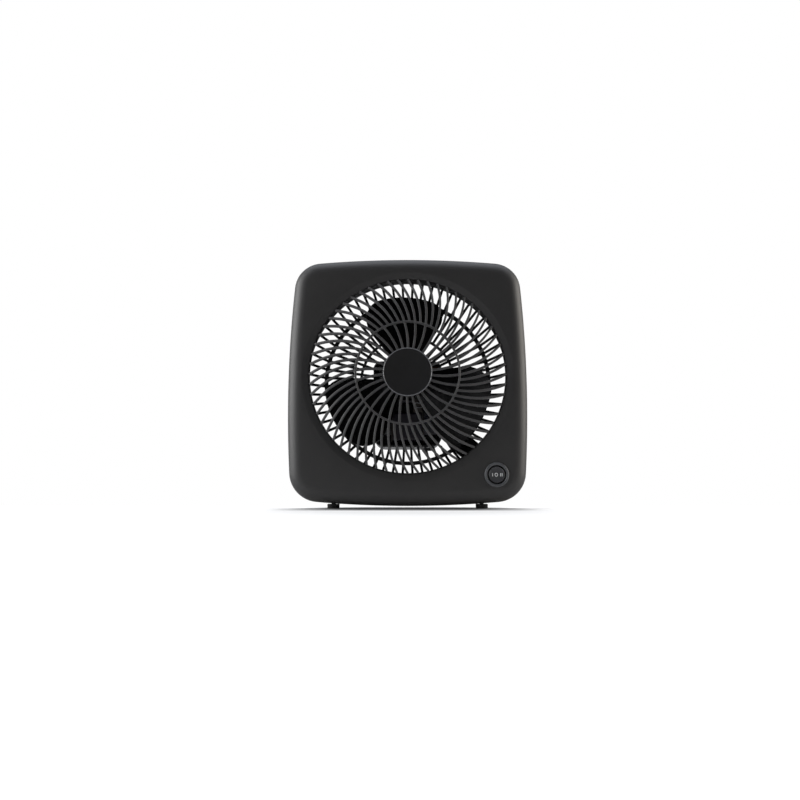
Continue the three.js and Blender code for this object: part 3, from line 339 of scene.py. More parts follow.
# %% Shaping helpers
def spun(bm, profile, steps, closed=False, angle=2 * pi, first=0.0):
    """Spins a chain of (radius, depth) points about the fan's axis."""
    verts = [bm.verts.new((radius, depth, 0)) for radius, depth in profile]
    edges = [bm.edges.new(pair) for pair in zip(verts, verts[1:])]
    if closed:
        edges.append(bm.edges.new((verts[-1], verts[0])))
    if first:
        bmesh.ops.rotate(bm, verts=verts, cent=(0, 0, 0), matrix=Matrix.Rotation(-first, 3, "Y"))
    full = abs(angle - 2 * pi) < 1e-6
    made = bmesh.ops.spin(
        bm,
        geom=verts + edges,
        cent=(0, 0, 0),
        axis=(0, -1, 0),
        angle=angle,
        steps=steps,
        use_merge=full,
    )
    if closed and not full:
        for chain in (edges, [e for e in made["geom_last"] if isinstance(e, bmesh.types.BMEdge)]):
            bmesh.ops.edgenet_fill(bm, edges=chain)


def moved(bm, matrix, known=()):
    """Moves everything in a bmesh but the vertices that were known before."""
    bmesh.ops.transform(bm, matrix=matrix, verts=[v for v in bm.verts if v not in known])


def rod(bm, radius, length, steps, place):
    """A closed round rod along Z, turned and put in its place by a matrix."""
    bmesh.ops.create_cone(
        bm,
        cap_ends=True,
        segments=steps,
        radius1=radius,
        radius2=radius,
        depth=length,
        matrix=place,
    )


def block(name, middle, spread, finish, turn=Matrix.Identity(4)):
    """A plain rectangular bar, used to cut, or softened afterwards."""
    bar = bmesh.new()
    place = turn @ Matrix.Translation(middle) @ Matrix.Diagonal((*spread, 1))
    bmesh.ops.create_cube(bar, size=1, matrix=place)
    return settle(bar, name, finish)


def carve(piece, cutters, operation="DIFFERENCE"):
    """Cuts other objects out of a piece, or joins them to it, and takes them away."""
    for cutter in cutters:
        step = piece.modifiers.new("carve", "BOOLEAN")
        step.operation = operation
        step.solver = "EXACT"
        step.use_self = operation == "UNION"
        step.object = cutter
    bpy.context.view_layer.update()
    done = piece.evaluated_get(bpy.context.evaluated_depsgraph_get())
    mesh = bpy.data.meshes.new_from_object(done)
    piece.modifiers.clear()
    piece.data = mesh
    mesh.set_sharp_from_angle(angle=radians(CREASE))
    for cutter in cutters:
        bpy.data.objects.remove(cutter)

# %% [markdown]
# The body's outline is a squircle: four long bowed edges and four corner arcs, each tangent to the
# next. Spinning one vertex round each arc's centre draws it, and the loops of edges are then
# bridged one after another, like the stations of a boat's hull.

# %% Outline of the body
HALF_WIDTH, HALF_HEIGHT, MIDDLE = 115, 120.3, -3.5
SIDE_BOW, END_BOW, SIDE_BOW_DROP = 1180, 1000, 4.2
TOP_CORNER, BOTTOM_CORNER = 27, 28.5
EDGE_STEPS, CORNER_STEPS = 36, 12
LOOP = 4 * (EDGE_STEPS + CORNER_STEPS)


def corner_centre(side, end, radius):
    """Centre of a corner arc that touches the bowed side and the bowed end."""
    side_centre = Vector((side * (HALF_WIDTH - SIDE_BOW), -SIDE_BOW_DROP))
    end_centre = Vector((0, end * (HALF_HEIGHT - END_BOW)))
    between = end_centre - side_centre
    reach, other = SIDE_BOW - radius, END_BOW - radius
    along = (between.length_squared + reach**2 - other**2) / (2 * between.length)
    unit = between.normalized()
    across = Vector((-unit.y, unit.x))
    if across.x * side < 0:
        across = -across
    return side_centre + unit * along + across * sqrt(reach**2 - along**2)


def heading(start, stop):
    return atan2(stop.y - start.y, stop.x - start.x)


corners = []
for side, end in ((1, -1), (1, 1), (-1, 1), (-1, -1)):
    radius = TOP_CORNER if end > 0 else BOTTOM_CORNER
    corners.append((side, end, radius, corner_centre(side, end, radius)))
arcs = []
for number, (side, end, radius, centre) in enumerate(corners):
    after = corners[(number + 1) % 4][3]
    side_centre = Vector((side * (HALF_WIDTH - SIDE_BOW), -SIDE_BOW_DROP))
    end_centre = Vector((0, end * (HALF_HEIGHT - END_BOW)))
    side_first = side * end > 0
    lines = [heading(side_centre, centre), heading(end_centre, centre)]
    start, stop = lines if side_first else lines[::-1]
    arcs.append((centre, radius, start, (stop - start) % (2 * pi), CORNER_STEPS))
    edge_centre, bow = (end_centre, END_BOW) if side_first else (side_centre, SIDE_BOW)
    sweep = (heading(edge_centre, after) - stop) % (2 * pi)
    arcs.append((edge_centre, bow, stop, sweep, EDGE_STEPS))
print("outline arcs, degrees:", [round(degrees(arc[3]), 1) for arc in arcs])

# %% Loops along the outline
def body_loop(bm, inset, depth):
    """A loop of edges along the outline, moved in by an inset, at a depth."""
    known = set(bm.verts)
    for centre, radius, start, turn, steps in arcs:
        middle = Vector((centre.x, depth, centre.y + MIDDLE))
        reach = radius - inset
        first = bm.verts.new(middle + Vector((reach * cos(start), 0, reach * sin(start))))
        bmesh.ops.spin(bm, geom=[first], cent=middle, axis=(0, -1, 0), angle=turn, steps=steps)
    bmesh.ops.remove_doubles(bm, verts=[v for v in bm.verts if v not in known], dist=0.02)
    return [edge for edge in bm.edges if edge.verts[0] not in known]


def round_loop(bm, radius, depth):
    """A loop of as many edges round the fan's axis."""
    turn = Matrix.Translation((0, depth, 0)) @ Matrix.Rotation(pi / 2, 4, "X")
    made = bmesh.ops.create_circle(bm, segments=LOOP, radius=radius, matrix=turn)
    return list({edge for vert in made["verts"] for edge in vert.link_edges})


def bridged(bm, loops):
    """Bridges each loop to the next, and the last to the first, into one closed wall.

    Two loops in one plane could be joined the wrong way round, so such a pair lies some
    hundredths of a millimetre apart.
    """
    for one, other in zip(loops, loops[1:] + loops[:1]):
        bmesh.ops.bridge_loops(bm, edges=one + other)


def capped(bm, loops):
    """Bridges each loop to the next, and fills the first and the last."""
    for one, other in zip(loops, loops[1:]):
        bmesh.ops.bridge_loops(bm, edges=one + other)
    for loop in (loops[0], loops[-1]):
        bmesh.ops.edgenet_fill(bm, edges=loop)

# %% [markdown]
# Front shell. A thin lip round the opening climbs a shallow dish to the flat face, which turns back
# over a large radius to the side. A short collar behind the lip takes the duct ring. The loops are
# closer where the surface curves, and a loop stands on each side of a flat, so that the flat stays
# flat in the shading.

# %% Front shell
OPENING, DUCT, THROAT = 94, 96, 98
COLLAR = 98.7
FILLET = 13
PARTING = 34
WALL = 2.2
bm = bmesh.new()
loops = [
    round_loop(bm, COLLAR, 9.1),
    round_loop(bm, COLLAR, 4.1),
    round_loop(bm, OPENING, 4.05),
    round_loop(bm, OPENING, 2.9),
    round_loop(bm, OPENING + 0.1, 2.35),
    round_loop(bm, OPENING + 0.4, 1.95),
    round_loop(bm, OPENING + 0.8, 1.7),
    round_loop(bm, OPENING + 1.4, 1.52),
    round_loop(bm, OPENING + 3.0, 1.15),
    round_loop(bm, OPENING + 5.0, 0.55),
    round_loop(bm, OPENING + 6.6, 0.1),
    round_loop(bm, OPENING + 7.1, 0.03),
    body_loop(bm, FILLET + 0.15, 0),
]
for number in range(11):
    turn = radians(9 * number)
    loops.append(body_loop(bm, FILLET * (1 - sin(turn)), FILLET * (1 - cos(turn)) + 0.01))
loops += [
    body_loop(bm, 0, FILLET + 1),
    body_loop(bm, 0, PARTING - 0.8),
    body_loop(bm, 0.15, PARTING - 0.25),
    body_loop(bm, 0.5, PARTING),
    body_loop(bm, WALL, PARTING - 0.03),
    body_loop(bm, WALL, FILLET),
    body_loop(bm, FILLET - 7.6, FILLET - 7.6),
    body_loop(bm, FILLET, WALL),
    round_loop(bm, COLLAR + 1.5, 4.1),
    round_loop(bm, COLLAR + 1.5, 9.07),
]
bridged(bm, loops)
front_shell = settle(bm, "front_shell", eroded_abs, crease=50)
print("front shell loops:", len(loops), "of", LOOP)

# %% [markdown]
# The shell's holes are cut with cylinders: one for the switch and one for each front foot's stem.
# Four screw posts stand inside, where the rear shell's screws bite.

# %% Holes and posts of the front shell
SWITCH, SWITCH_HOLE = (82.7, -95.2), 10.5
FRONT_FEET, REAR_FEET = (70.1, 17), (73.8, 57)
STEM_HOLE, STEM_CUT = 2.5, 9
SWITCH_CUT = (-3, 14)
SCREWS = ((-90, 88), (90, 88), (-50, -108.5), (50, -108.5))


def plug(name, radius, front, back, across, up, steps=32):
    """A plain round bar along Y, used to cut or to join."""
    bar = bmesh.new()
    spun(bar, [(0, front), (radius, front), (radius, back), (0, back)], steps)
    moved(bar, Matrix.Translation((across, 0, up)))
    return settle(bar, name, eroded_abs)


def underside(across):
    """Height of the body's underside at a distance from the middle."""
    return MIDDLE - HALF_HEIGHT + END_BOW - sqrt(END_BOW**2 - across**2)


def stem_hole(side, across, depth):
    """An upright bar for the hole that a foot's stem goes through."""
    bar = bmesh.new()
    rod(bar, STEM_HOLE, STEM_CUT, 24, Matrix.Translation((side * across, depth, underside(across))))
    return settle(bar, f"stem_cut_{side}", eroded_abs)


cutters = [plug("switch_cut", SWITCH_HOLE, *SWITCH_CUT, *SWITCH)]
cutters += [stem_hole(side, *FRONT_FEET) for side in (-1, 1)]
carve(front_shell, cutters)
posts = bmesh.new()
for across, up in SCREWS:
    known = set(posts.verts)
    spun(posts, [(1.8, 20), (1.8, 35.5), (4, 35.5), (4, 1.2), (1.8, 1.2)], 24, closed=True)
    moved(posts, Matrix.Translation((across, 0, up)), known)
screw_posts = settle(posts, "screw_posts", eroded_abs)
for piece in (front_shell, screw_posts):
    hand_over(piece, "base", "housing_plastic", "front_housing")

# %% [markdown]
# Duct ring: a loose band behind the opening. It clamps the grille's flange against the lip, and it
# widens a little towards the back. It is black inside, which shows as a dark crescent at the top.

# %% Duct ring
bm = bmesh.new()
band = [
    (THROAT, 27),
    (THROAT - 0.3, 26.4),
    (DUCT, 7.1),
    (DUCT + 0.3, 6.7),
    (DUCT + 1.5, 6.7),
    (DUCT + 1.8, 7.1),
    (THROAT + 1.8, 27),
]
spun(bm, band, LOOP, closed=True)
duct_band = settle(bm, "duct_band", dark_rib_plastic)
hand_over(duct_band, "base", "grille_plastic", "duct_ring")

# %% [markdown]
# Rear shell. Its rim turns in at the back, and a funnel runs from there to the throat, to lead the
# air in. Each screw sits at the bottom of a well in the funnel.

# %% Rear shell
DEPTH = 70
RIM_IN, RIM_BACK = 4.2, 6
bm = bmesh.new()
loops = [
    round_loop(bm, 103.9, 27.3),
    round_loop(bm, 103.9, 30.6),
    round_loop(bm, 100.2, 30.64),
    round_loop(bm, 100, 31.4),
    round_loop(bm, 100, 33.1),
    round_loop(bm, 100.6, 34.2),
    body_loop(bm, 6.2, DEPTH - 3),
    body_loop(bm, 5.2, DEPTH - 0.8),
    body_loop(bm, 4.6, DEPTH - 0.2),
]
for number in range(9):
    turn = radians(11.25 * number)
    back = DEPTH - RIM_BACK + RIM_BACK * cos(turn)
    loops.append(body_loop(bm, RIM_IN * (1 - sin(turn)), back))
loops += [
    body_loop(bm, 0, DEPTH - 7),
    body_loop(bm, 0, PARTING + 1.1),
    body_loop(bm, 0.15, PARTING + 0.55),
    body_loop(bm, 0.5, PARTING + 0.3),
    body_loop(bm, 2.5, PARTING + 0.26),
    body_loop(bm, 2.5, PARTING - 3.7),
    body_loop(bm, 3.9, PARTING - 3.66),
    body_loop(bm, 3.9, PARTING + 4.3),
    body_loop(bm, 2.2, PARTING + 8.3),
    body_loop(bm, 2.2, 61.8),
    body_loop(bm, 4.4, 64),
    round_loop(bm, 106.1, 31.4),
    round_loop(bm, 106.1, 27.34),
]
bridged(bm, loops)
rear_shell = settle(bm, "rear_shell", rear_abs, crease=50)
print("rear shell loops:", len(loops), "of", LOOP)

# %% [markdown]
# The four screw wells are bars joined to the shell. What would stand out of the funnel's back is
# cut off them first.

# %% Screw wells
WELL, WELL_FRONT, WELL_BACK = 5.4, 35.8, 69.4
wells = [plug(f"well_{n}", WELL, WELL_FRONT, WELL_BACK, *spot) for n, spot in enumerate(SCREWS)]
bm = bmesh.new()
behind = [
    round_loop(bm, 99.6, 30),
    round_loop(bm, 100.2, 33.9),
    body_loop(bm, 6.6, DEPTH - 3),
    body_loop(bm, 5.4, DEPTH + 4),
]
capped(bm, behind)
well_tubes = wells[0]
carve(well_tubes, wells[1:], "UNION")
carve(well_tubes, [settle(bm, "behind_cut", rear_abs)])
carve(rear_shell, [well_tubes], "UNION")
print("rear shell faces with its wells:", len(rear_shell.data.polygons))

# %% [markdown]
# The wells are then bored out from behind, the leads' way is notched through the throat, and the
# rear feet get their holes.

# %% Holes of the rear shell
CHANNEL_ANGLE = radians(-49)
WELL_BORE, SCREW_PASS = 4.1, 1.9


def gate_cut():
    """The notch for the leads, along the wire channel's direction."""
    turn = Matrix.Rotation(-CHANNEL_ANGLE, 4, "Y")
    return block("gate_cut", (103.8, 28.5, 0), (12.6, 6, 12), rear_abs, turn)


cutters = [plug(f"bore_{n}", WELL_BORE, 38, 76, *spot) for n, spot in enumerate(SCREWS)]
cutters += [plug(f"pass_{n}", SCREW_PASS, 33, 40, *spot) for n, spot in enumerate(SCREWS)]
cutters += [stem_hole(side, *REAR_FEET) for side in (-1, 1)]
carve(rear_shell, cutters + [gate_cut()])
hand_over(rear_shell, "base", "housing_plastic", "rear_housing")

# %% [markdown]
# Front grille. Every rib is a bow: it leaves the hub straight out, and its arc of 84 mm radius
# carries it aslant to the rim. The grille is flat inside its middle ring and falls back from there
# to the rim like a shallow dome.

# %% Bow and dome of the ribs
RIB_WIDTH, RIB_DEPTH, BEND, BEND_START = 2.2, 4.5, 84, 24
DOME, DOME_EDGE = 9.5, 0.9
RIB_BEGIN, MID_RING, RIB_END = 21.6, 48.9, 93.8
RIBS_IN_SET = 30
RIB_START_ANGLE = radians(5.1)


def dome_depth(radius):
    """Depth of the grille's front at a radius: flat in the middle, then down to the rim."""
    way = min(max((radius - MID_RING) / (OPENING - MID_RING), 0), 1)
    return (DOME + DOME_EDGE) * (1 - cos(pi / 2 * way)) - DOME


def bow_turn(radius):
    """How far along its bow a rib is when it reaches a radius."""
    sine, cosine = 2 * BEND_START * BEND, 2 * BEND**2
    rest = radius**2 - BEND_START**2 - cosine
    return asin(rest / hypot(sine, cosine)) + atan2(cosine, sine)


rib_swing = degrees(bow_turn(RIB_END) - bow_turn(MID_RING))
print("a rib bends from the middle ring to the rim by", round(rib_swing, 1), "degrees")

# %% [markdown]
# One rib's section is spun round the bow's centre and pushed back along the dome. The whole rib is
# then spun in copies round the fan. Thirty ribs start at the hub, and thirty between them start at
# the middle ring.

# %% Ribs of the front grille
def rib_copies(bm, start, stop, steps, first_angle):
    """A set of equal ribs from one radius to another, all round the fan."""
    known = set(bm.verts)
    turn = bow_turn(start)
    half, back, soft = RIB_WIDTH / 2, RIB_DEPTH, 0.45
    section = [
        (0, -half + soft),
        (0, half - soft),
        (soft * 0.3, half - soft * 0.3),
        (soft, half),
        (back, half * 0.82),
        (back, -half * 0.82),
        (soft, -half),
        (soft * 0.3, -half + soft * 0.3),
    ]
    verts = [bm.verts.new((BEND_START, depth, across)) for depth, across in section]
    end = bm.faces.new(verts)
    centre = (BEND_START, 0, BEND)
    bmesh.ops.rotate(bm, verts=verts, cent=centre, matrix=Matrix.Rotation(-turn, 3, "Y"))
    swing = bow_turn(stop) - turn
    geom = [end] + end.verts[:] + end.edges[:]
    bmesh.ops.spin(bm, geom=geom, cent=centre, axis=(0, -1, 0), angle=swing, steps=steps)
    rib = [v for v in bm.verts if v not in known]
    for vert in rib:
        vert.co.y += dome_depth(hypot(vert.co.x, vert.co.z))
    bmesh.ops.rotate(bm, verts=rib, cent=(0, 0, 0), matrix=Matrix.Rotation(-first_angle, 3, "Y"))
    geom = rib + list({edge for vert in rib for edge in vert.link_edges})
    geom += list({face for vert in rib for face in vert.link_faces})
    copies = RIBS_IN_SET - 1
    bmesh.ops.spin(
        bm,
        geom=geom,
        cent=(0, 0, 0),
        axis=(0, -1, 0),
        angle=copies * radians(360 / RIBS_IN_SET),
        steps=copies,
        use_duplicate=True,
    )


bm = bmesh.new()
rib_copies(bm, RIB_BEGIN, RIB_END, 14, RIB_START_ANGLE)
rib_copies(bm, MID_RING, RIB_END, 9, RIB_START_ANGLE + radians(180 / RIBS_IN_SET))
front_ribs = settle(bm, "front_grille_ribs", rib_plastic, crease=50)
hand_over(front_ribs, "base", "grille_plastic", "front_grille")

# %% [markdown]
# The middle ring stands a little proud of the ribs. The rim is the flange that the duct ring
# clamps, and the disc in the middle is the hub cap's seat. Each is a section spun full circle.

# %% Rings of the front grille
bm = bmesh.new()
front = -DOME - 0.4
ring = [
    (MID_RING - 0.9, front + 0.35),
    (MID_RING - 0.55, front),
    (MID_RING + 0.55, front),
    (MID_RING + 0.9, front + 0.35),
    (MID_RING + 0.75, front + RIB_DEPTH),
    (MID_RING - 0.75, front + RIB_DEPTH),
]
spun(bm, ring, 144, closed=True)
rim = [(93.5, 4.7), (93.8, 4.4), (97.7, 4.4), (97.7, 6.4), (93.5, 6.4)]
spun(bm, rim, 192, closed=True)
seat = [(4.3, -DOME), (22.6, -DOME), (22.6, -DOME + 3.5), (4.3, -DOME + 3.5)]
spun(bm, seat, 96, closed=True)
grille_rings = settle(bm, "front_grille_rings", rib_plastic)
hand_over(grille_rings, "base", "grille_plastic", "front_grille")

# %% [markdown]
# Hub cap: a flat disc with a fine bead round it and a peg that snaps into the grille. The bead's
# faces get the polished finish, whose lighter colour is a painted highlight.

# %% Hub cap
BEAD_START, BEAD_BACK = 22.1, -11.1


def in_fan(point):
    """A point of a finished mesh, back in the fan's own millimetres."""
    return PLACE.inverted() @ point


bm = bmesh.new()
cap = [
    (0, -11.3), (21.9, -11.3), (22.15, -11.35), (22.35, -11.65), (22.6, -11.75),
    (22.85, -11.65), (23.1, -11.3), (23.2, -11.0), (23.2, -9.95), (23.0, -9.8), (4, -9.8),
    (4, -4.8), (0, -4.8),
]
spun(bm, cap, 128)
hub_cap = settle(bm, "hub_cap_disc", cap_plastic)
# The bead's faces are painted lighter, as a highlight on the polished rim.
hub_cap.data.materials.append(rim_highlight_plastic)
for face in hub_cap.data.polygons:
    middle = in_fan(face.center)
    if hypot(middle.x, middle.z) > BEAD_START and middle.y < BEAD_BACK:
        face.material_index = 1
hand_over(hub_cap, "base", "cap_plastic", "hub_cap")

# %% [markdown]
# Fan rotor. A blade is a grid bent round the axis: its leading edge lies at the back, it rises to
# the front, and its outer corners are round. Solidify gives it its thickness, and the other two
# blades are its copies.

# %% Blades of the rotor
TIP, ROOT = 82.8, 19.6
BLADE_REST, LEAD, TRAIL = radians(91), radians(-32), radians(38.5)
LEAD_CORNER, TRAIL_CORNER = 20, 30
BLADE_DEPTH, BLADE_RISE, BLADE_CAMBER, BLADE_WALL = 21.5, 10.5, 12, 1.8


def corner_cut(radius, corner):
    """How much a round outer corner takes off the blade's edge at a radius."""
    past = min(max(radius - (TIP - corner), 0), corner)
    return corner - sqrt(corner**2 - past**2)


def bend_blade(across, along):
    """The place of a grid's point, from 0 to 1 over the blade's chord and its length."""
    straight = (TIP - TRAIL_CORNER - ROOT) / (TIP - ROOT)
    radius = ROOT + (TIP - ROOT) * along
    if along > straight:
        turn = pi / 2 * (along - straight) / (1 - straight)
        radius = TIP - TRAIL_CORNER + TRAIL_CORNER * sin(turn)
    low = BLADE_REST + LEAD + corner_cut(radius, LEAD_CORNER) / radius
    high = BLADE_REST + TRAIL - corner_cut(radius, TRAIL_CORNER) / radius
    angle = low + (high - low) * across
    share = (angle - BLADE_REST - LEAD) / (TRAIL - LEAD)
    depth = BLADE_DEPTH + BLADE_RISE * (1 - 2 * share) + BLADE_CAMBER * share * (1 - share)
    return Vector((radius * cos(angle), depth, radius * sin(angle)))


bm = bmesh.new()
bmesh.ops.create_grid(bm, x_segments=28, y_segments=30, size=0.5)
for vert in bm.verts:
    vert.co = bend_blade(vert.co.x + 0.5, vert.co.y + 0.5)
bmesh.ops.recalc_face_normals(bm, faces=bm.faces)
bmesh.ops.solidify(bm, geom=bm.faces[:], thickness=BLADE_WALL)
bm.normal_update()
bmesh.ops.spin(
    bm,
    geom=bm.verts[:] + bm.edges[:] + bm.faces[:],
    cent=(0, 0, 0),
    axis=(0, -1, 0),
    angle=radians(240),
    steps=2,
    use_duplicate=True,
)
print("corners of the three blades:", len(bm.verts))

# %% [markdown]
# The rotor's hub is a cup with a boss for the shaft, spun from half of its section. It joins the
# blades in one mesh, because they are one moulding.

# %% Hub of the rotor
hub = [
    (0, 8), (15.5, 8), (17.6, 8.4), (19.3, 9.5), (20.2, 11.1), (20.5, 13), (20.5, 35),
    (18.5, 35), (18.5, 14), (17, 10.4), (6, 10), (6, 35), (2.8, 35), (2.8, 13.7),
    (0, 13.7),
]
spun(bm, hub, 96)
fan_rotor = settle(bm, "rotor_blades", blade_plastic, crease=40)
soften(fan_rotor, 0.45, 3)
hand_over(fan_rotor, "rotor", "rotor_plastic", "fan_rotor")

# %% [markdown]
# Rear grille. Its ribs run from the clamped rim down a slope to a flat plane, where two rings carry
# them. The motor's pocket is a rounded box let into the plane, and a channel leads its wires out to
# the switch. A rib stops where it meets the pocket or the channel.

# %% Ribs of the rear grille
PLANE, REAR_RIB_DEPTH, REAR_RIB_WIDTH = 44.5, 3, 2.4
OUTER_RING, INNER_RING = 82.2, 47
OUTER_HALF, INNER_HALF = 1.9, 1.25
BOWL_BEND, BOWL_FRONT = OUTER_RING + OUTER_HALF, 27.8
POCKET = (-34.5, 34.5, -66, 21)
CHANNEL_WIDTH, TROUGH_WIDTH, RIB_STOP = 21, 17.8, 9.8
INTO_WALL, SHORTEST_RIB = 1, 4


def bowl_depth(radius):
    """Depth of the rear grille's front at a radius."""
    return PLANE - (PLANE - BOWL_FRONT) * max(radius - BOWL_BEND, 0) / (THROAT - BOWL_BEND)


def bar_profile(front_more, back_more, start, stop):
    """Side view of a rib or channel, in radius and depth."""
    return [
        (stop, bowl_depth(stop) - front_more),
        (BOWL_BEND, PLANE - front_more),
        (start, PLANE - front_more),
        (start, PLANE + REAR_RIB_DEPTH + back_more),
        (BOWL_BEND, PLANE + REAR_RIB_DEPTH + back_more),
        (stop, bowl_depth(stop) + 2 + back_more),
    ]


def radial_bar(bm, profile, width, angle):
    """A side view pulled out to a width and turned round the axis."""
    known = set(bm.verts)
    verts = [bm.verts.new((radius, depth, -width / 2)) for radius, depth in profile]
    face = bm.faces.new(verts)
    made = bmesh.ops.extrude_face_region(bm, geom=[face])
    far = [v for v in made["geom"] if isinstance(v, bmesh.types.BMVert)]
    bmesh.ops.translate(bm, verts=far, vec=(0, 0, width))
    moved(bm, Matrix.Rotation(-angle, 4, "Y"), known)


def pocket_reach(angle):
    """How far the pocket's wall is from the axis in a direction."""
    across, up = cos(angle), sin(angle)
    left, right, low, high = POCKET
    by_side = (right if across > 0 else left) / across if abs(across) > 1e-6 else 1e6
    by_end = (high if up > 0 else low) / up if abs(up) > 1e-6 else 1e6
    return min(by_side, by_end)


bm = bmesh.new()
kept = 0
for number in range(60):
    angle = radians(6 * number + 3)
    start = pocket_reach(angle) - INTO_WALL
    if number % 2:
        start = max(start, INNER_RING)
    off = abs((angle - CHANNEL_ANGLE + pi) % (2 * pi) - pi)
    if off < pi / 2:
        start = max(start, RIB_STOP / sin(off))
    if start < THROAT - SHORTEST_RIB:
        radial_bar(bm, bar_profile(0, 0, start, THROAT + 0.4), REAR_RIB_WIDTH, angle)
        kept += 1
print("rear ribs:", kept)
rear_ribs = settle(bm, "rear_grille_ribs", dark_rib_plastic)

# %% [markdown]
# The grille's rim is a flat band that the shells clamp. It has the leads' notch as well. The two
# rings are spun only as far as they go: the channel interrupts both, and the pocket the inner one.

# %% Rim and rings of the rear grille
bm = bmesh.new()
spun(bm, [(THROAT, 27.3), (103, 27.3), (103, 30.3), (THROAT, 30.3)], 192, closed=True)
rear_rim = settle(bm, "rear_grille_rim", dark_rib_plastic)
carve(rear_rim, [gate_cut()])
bm = bmesh.new()
reach = (0.4, REAR_RIB_DEPTH - 0.4)


def flat_ring(radius, half):
    return [
        (radius - half, PLANE + reach[0]),
        (radius + half, PLANE + reach[0]),
        (radius + half, PLANE + reach[1]),
        (radius - half, PLANE + reach[1]),
    ]


half_turn = asin(CHANNEL_WIDTH / 2 / OUTER_RING)
outer = flat_ring(OUTER_RING, OUTER_HALF)
spun(bm, outer, 150, True, 2 * pi - 2 * half_turn, CHANNEL_ANGLE + half_turn)
meet = atan2(-sqrt(INNER_RING**2 - POCKET[1] ** 2), POCKET[1])
open_start = max(meet, CHANNEL_ANGLE + asin(CHANNEL_WIDTH / 2 / INNER_RING))
spun(bm, flat_ring(INNER_RING, INNER_HALF), 100, True, pi - meet - open_start, open_start)
rear_rings = settle(bm, "rear_grille_rings", dark_rib_plastic)
for piece in (rear_ribs, rear_rim, rear_rings):
    hand_over(piece, "base", "grille_plastic", "rear_grille")

# %% [markdown]
# A rounded collar in the middle of the grille carries the motor cover, a tub whose lip hooks into
# the collar from behind. Each is a row of rounded rectangles, drawn by spinning a vertex round each
# corner, and bridged one to the next.

# %% Motor cover and its collar
POCKET_TOP_ROUND, POCKET_LOW_ROUND = 8, 12


def pocket_loop(bm, inset, depth):
    """A rounded rectangle of edges round the motor, moved in by an inset, at a depth."""
    known = set(bm.verts)
    left, right, low, high = POCKET
    ends = []
    spots = ((right, low, -90), (right, high, 0), (left, high, 90), (left, low, 180))
    for across, up, start in spots:
        corner = POCKET_LOW_ROUND if up < 0 else POCKET_TOP_ROUND
        inward = (-corner if across > 0 else corner, corner if up < 0 else -corner)
        middle = Vector((across + inward[0], depth, up + inward[1]))
        turn = radians(start)
        arm = Vector((cos(turn), 0, sin(turn))) * (corner - inset)
        first = bm.verts.new(middle + arm)
        made = bmesh.ops.spin(
            bm, geom=[first], cent=middle, axis=(0, -1, 0), angle=pi / 2, steps=10
        )
        last = [v for v in made["geom_last"] if isinstance(v, bmesh.types.BMVert)][0]
        ends.append((first, last))
    for number in range(4):
        bm.edges.new((ends[number][1], ends[(number + 1) % 4][0]))
    return [edge for edge in bm.edges if edge.verts[0] not in known]


bm = bmesh.new()
collar = [(0, 43.6), (0, 47.5), (0.7, 47.53), (0.7, 45.3), (2, 45.33), (2, 43.63)]
bridged(bm, [pocket_loop(bm, *spot) for spot in collar])
pocket_collar = settle(bm, "pocket_collar", dark_rib_plastic, crease=30)
bm = bmesh.new()
tub = [(0, 81), (0, 47.8), (1, 47.83), (1, 45.6), (2, 45.63), (2, 79)]
capped(bm, [pocket_loop(bm, *spot) for spot in tub])
motor_cover = settle(bm, "motor_cover_tub", dark_rib_plastic, crease=30)
print("motor cover faces, before its openings are cut:", len(motor_cover.data.polygons))

# %% [markdown]
# The wire channel is a trough along the switch's direction. It opens into the pocket at one end and
# to the throat at the other. A solid bar gives its outside, a narrower one hollows it, and what
# would stand in the duct and in the motor's pocket is cut off.

# %% Wire channel
def channel_bar(name, profile, width=CHANNEL_WIDTH):
    """A bar along the wire channel, as an object of its own."""
    bar = bmesh.new()
    radial_bar(bar, profile, width, CHANNEL_ANGLE)
    return settle(bar, name, dark_rib_plastic)


channel = channel_bar("wire_channel", bar_profile(3, 2, POCKET[1], THROAT + 0.25))
trough = bar_profile(6, 0.4, 30, THROAT + 5)
cutters = [channel_bar("trough_cut", trough, TROUGH_WIDTH)]
bm = bmesh.new()
spun(bm, [(97.1, 0), (110, 0), (110, 27.3), (97.1, 27.3)], 192, closed=True)
cutters.append(settle(bm, "duct_cut", dark_rib_plastic))
# The pocket's inside, and the motor cover's place behind the collar. They stay two cutters,
# because blocks that overlap in one mesh would cancel each other.
rooms = (
    ((0, 59, -22.5), (64.9, 40, 82.9)),
    ((0, 57.5, -22.5), (69.6, 20, 87.6)),
)
for middle, spread in rooms:
    cutters.append(block(f"inside_cut_{len(cutters)}", middle, spread, dark_rib_plastic))
carve(channel, cutters)
print("wire channel faces:", len(channel.data.polygons))

# %% [markdown]
# The leads pass through the collar on their way to the channel, so the collar is cut with the same
# bar. The motor cover is cut back there too, and a round hole in its underside takes the rubber
# bush. Two bosses inside it hold the motor's long screws.

# %% Openings and bosses of the motor cover
BUSH_HOLE, LONG_SCREW = 5, 24.5
carve(pocket_collar, [channel_bar("wire_way_cut", trough, TROUGH_WIDTH)])
lip_cut = channel_bar("lip_cut", [(17, 43), (69, 43), (69, 47.8), (17, 47.8)])
bm = bmesh.new()
rod(bm, BUSH_HOLE, 9, 32, Matrix.Translation((21, 64, POCKET[2])))
cord_hole = settle(bm, "cord_hole_cut", dark_rib_plastic)
carve(motor_cover, [lip_cut, cord_hole])
bm = bmesh.new()
for side in (-1, 1):
    known = set(bm.verts)
    spun(bm, [(2.1, 75.3), (4.2, 75.3), (4.2, 79.6), (2.1, 79.6)], 32, closed=True)
    moved(bm, Matrix.Translation((side * LONG_SCREW, 0, 0)), known)
cover_bosses = settle(bm, "motor_cover_bosses", dark_rib_plastic)
soften(pocket_collar, 0.25)
soften(motor_cover, 0.4, 3)
for piece in (pocket_collar, channel):
    hand_over(piece, "base", "grille_plastic", "rear_grille")
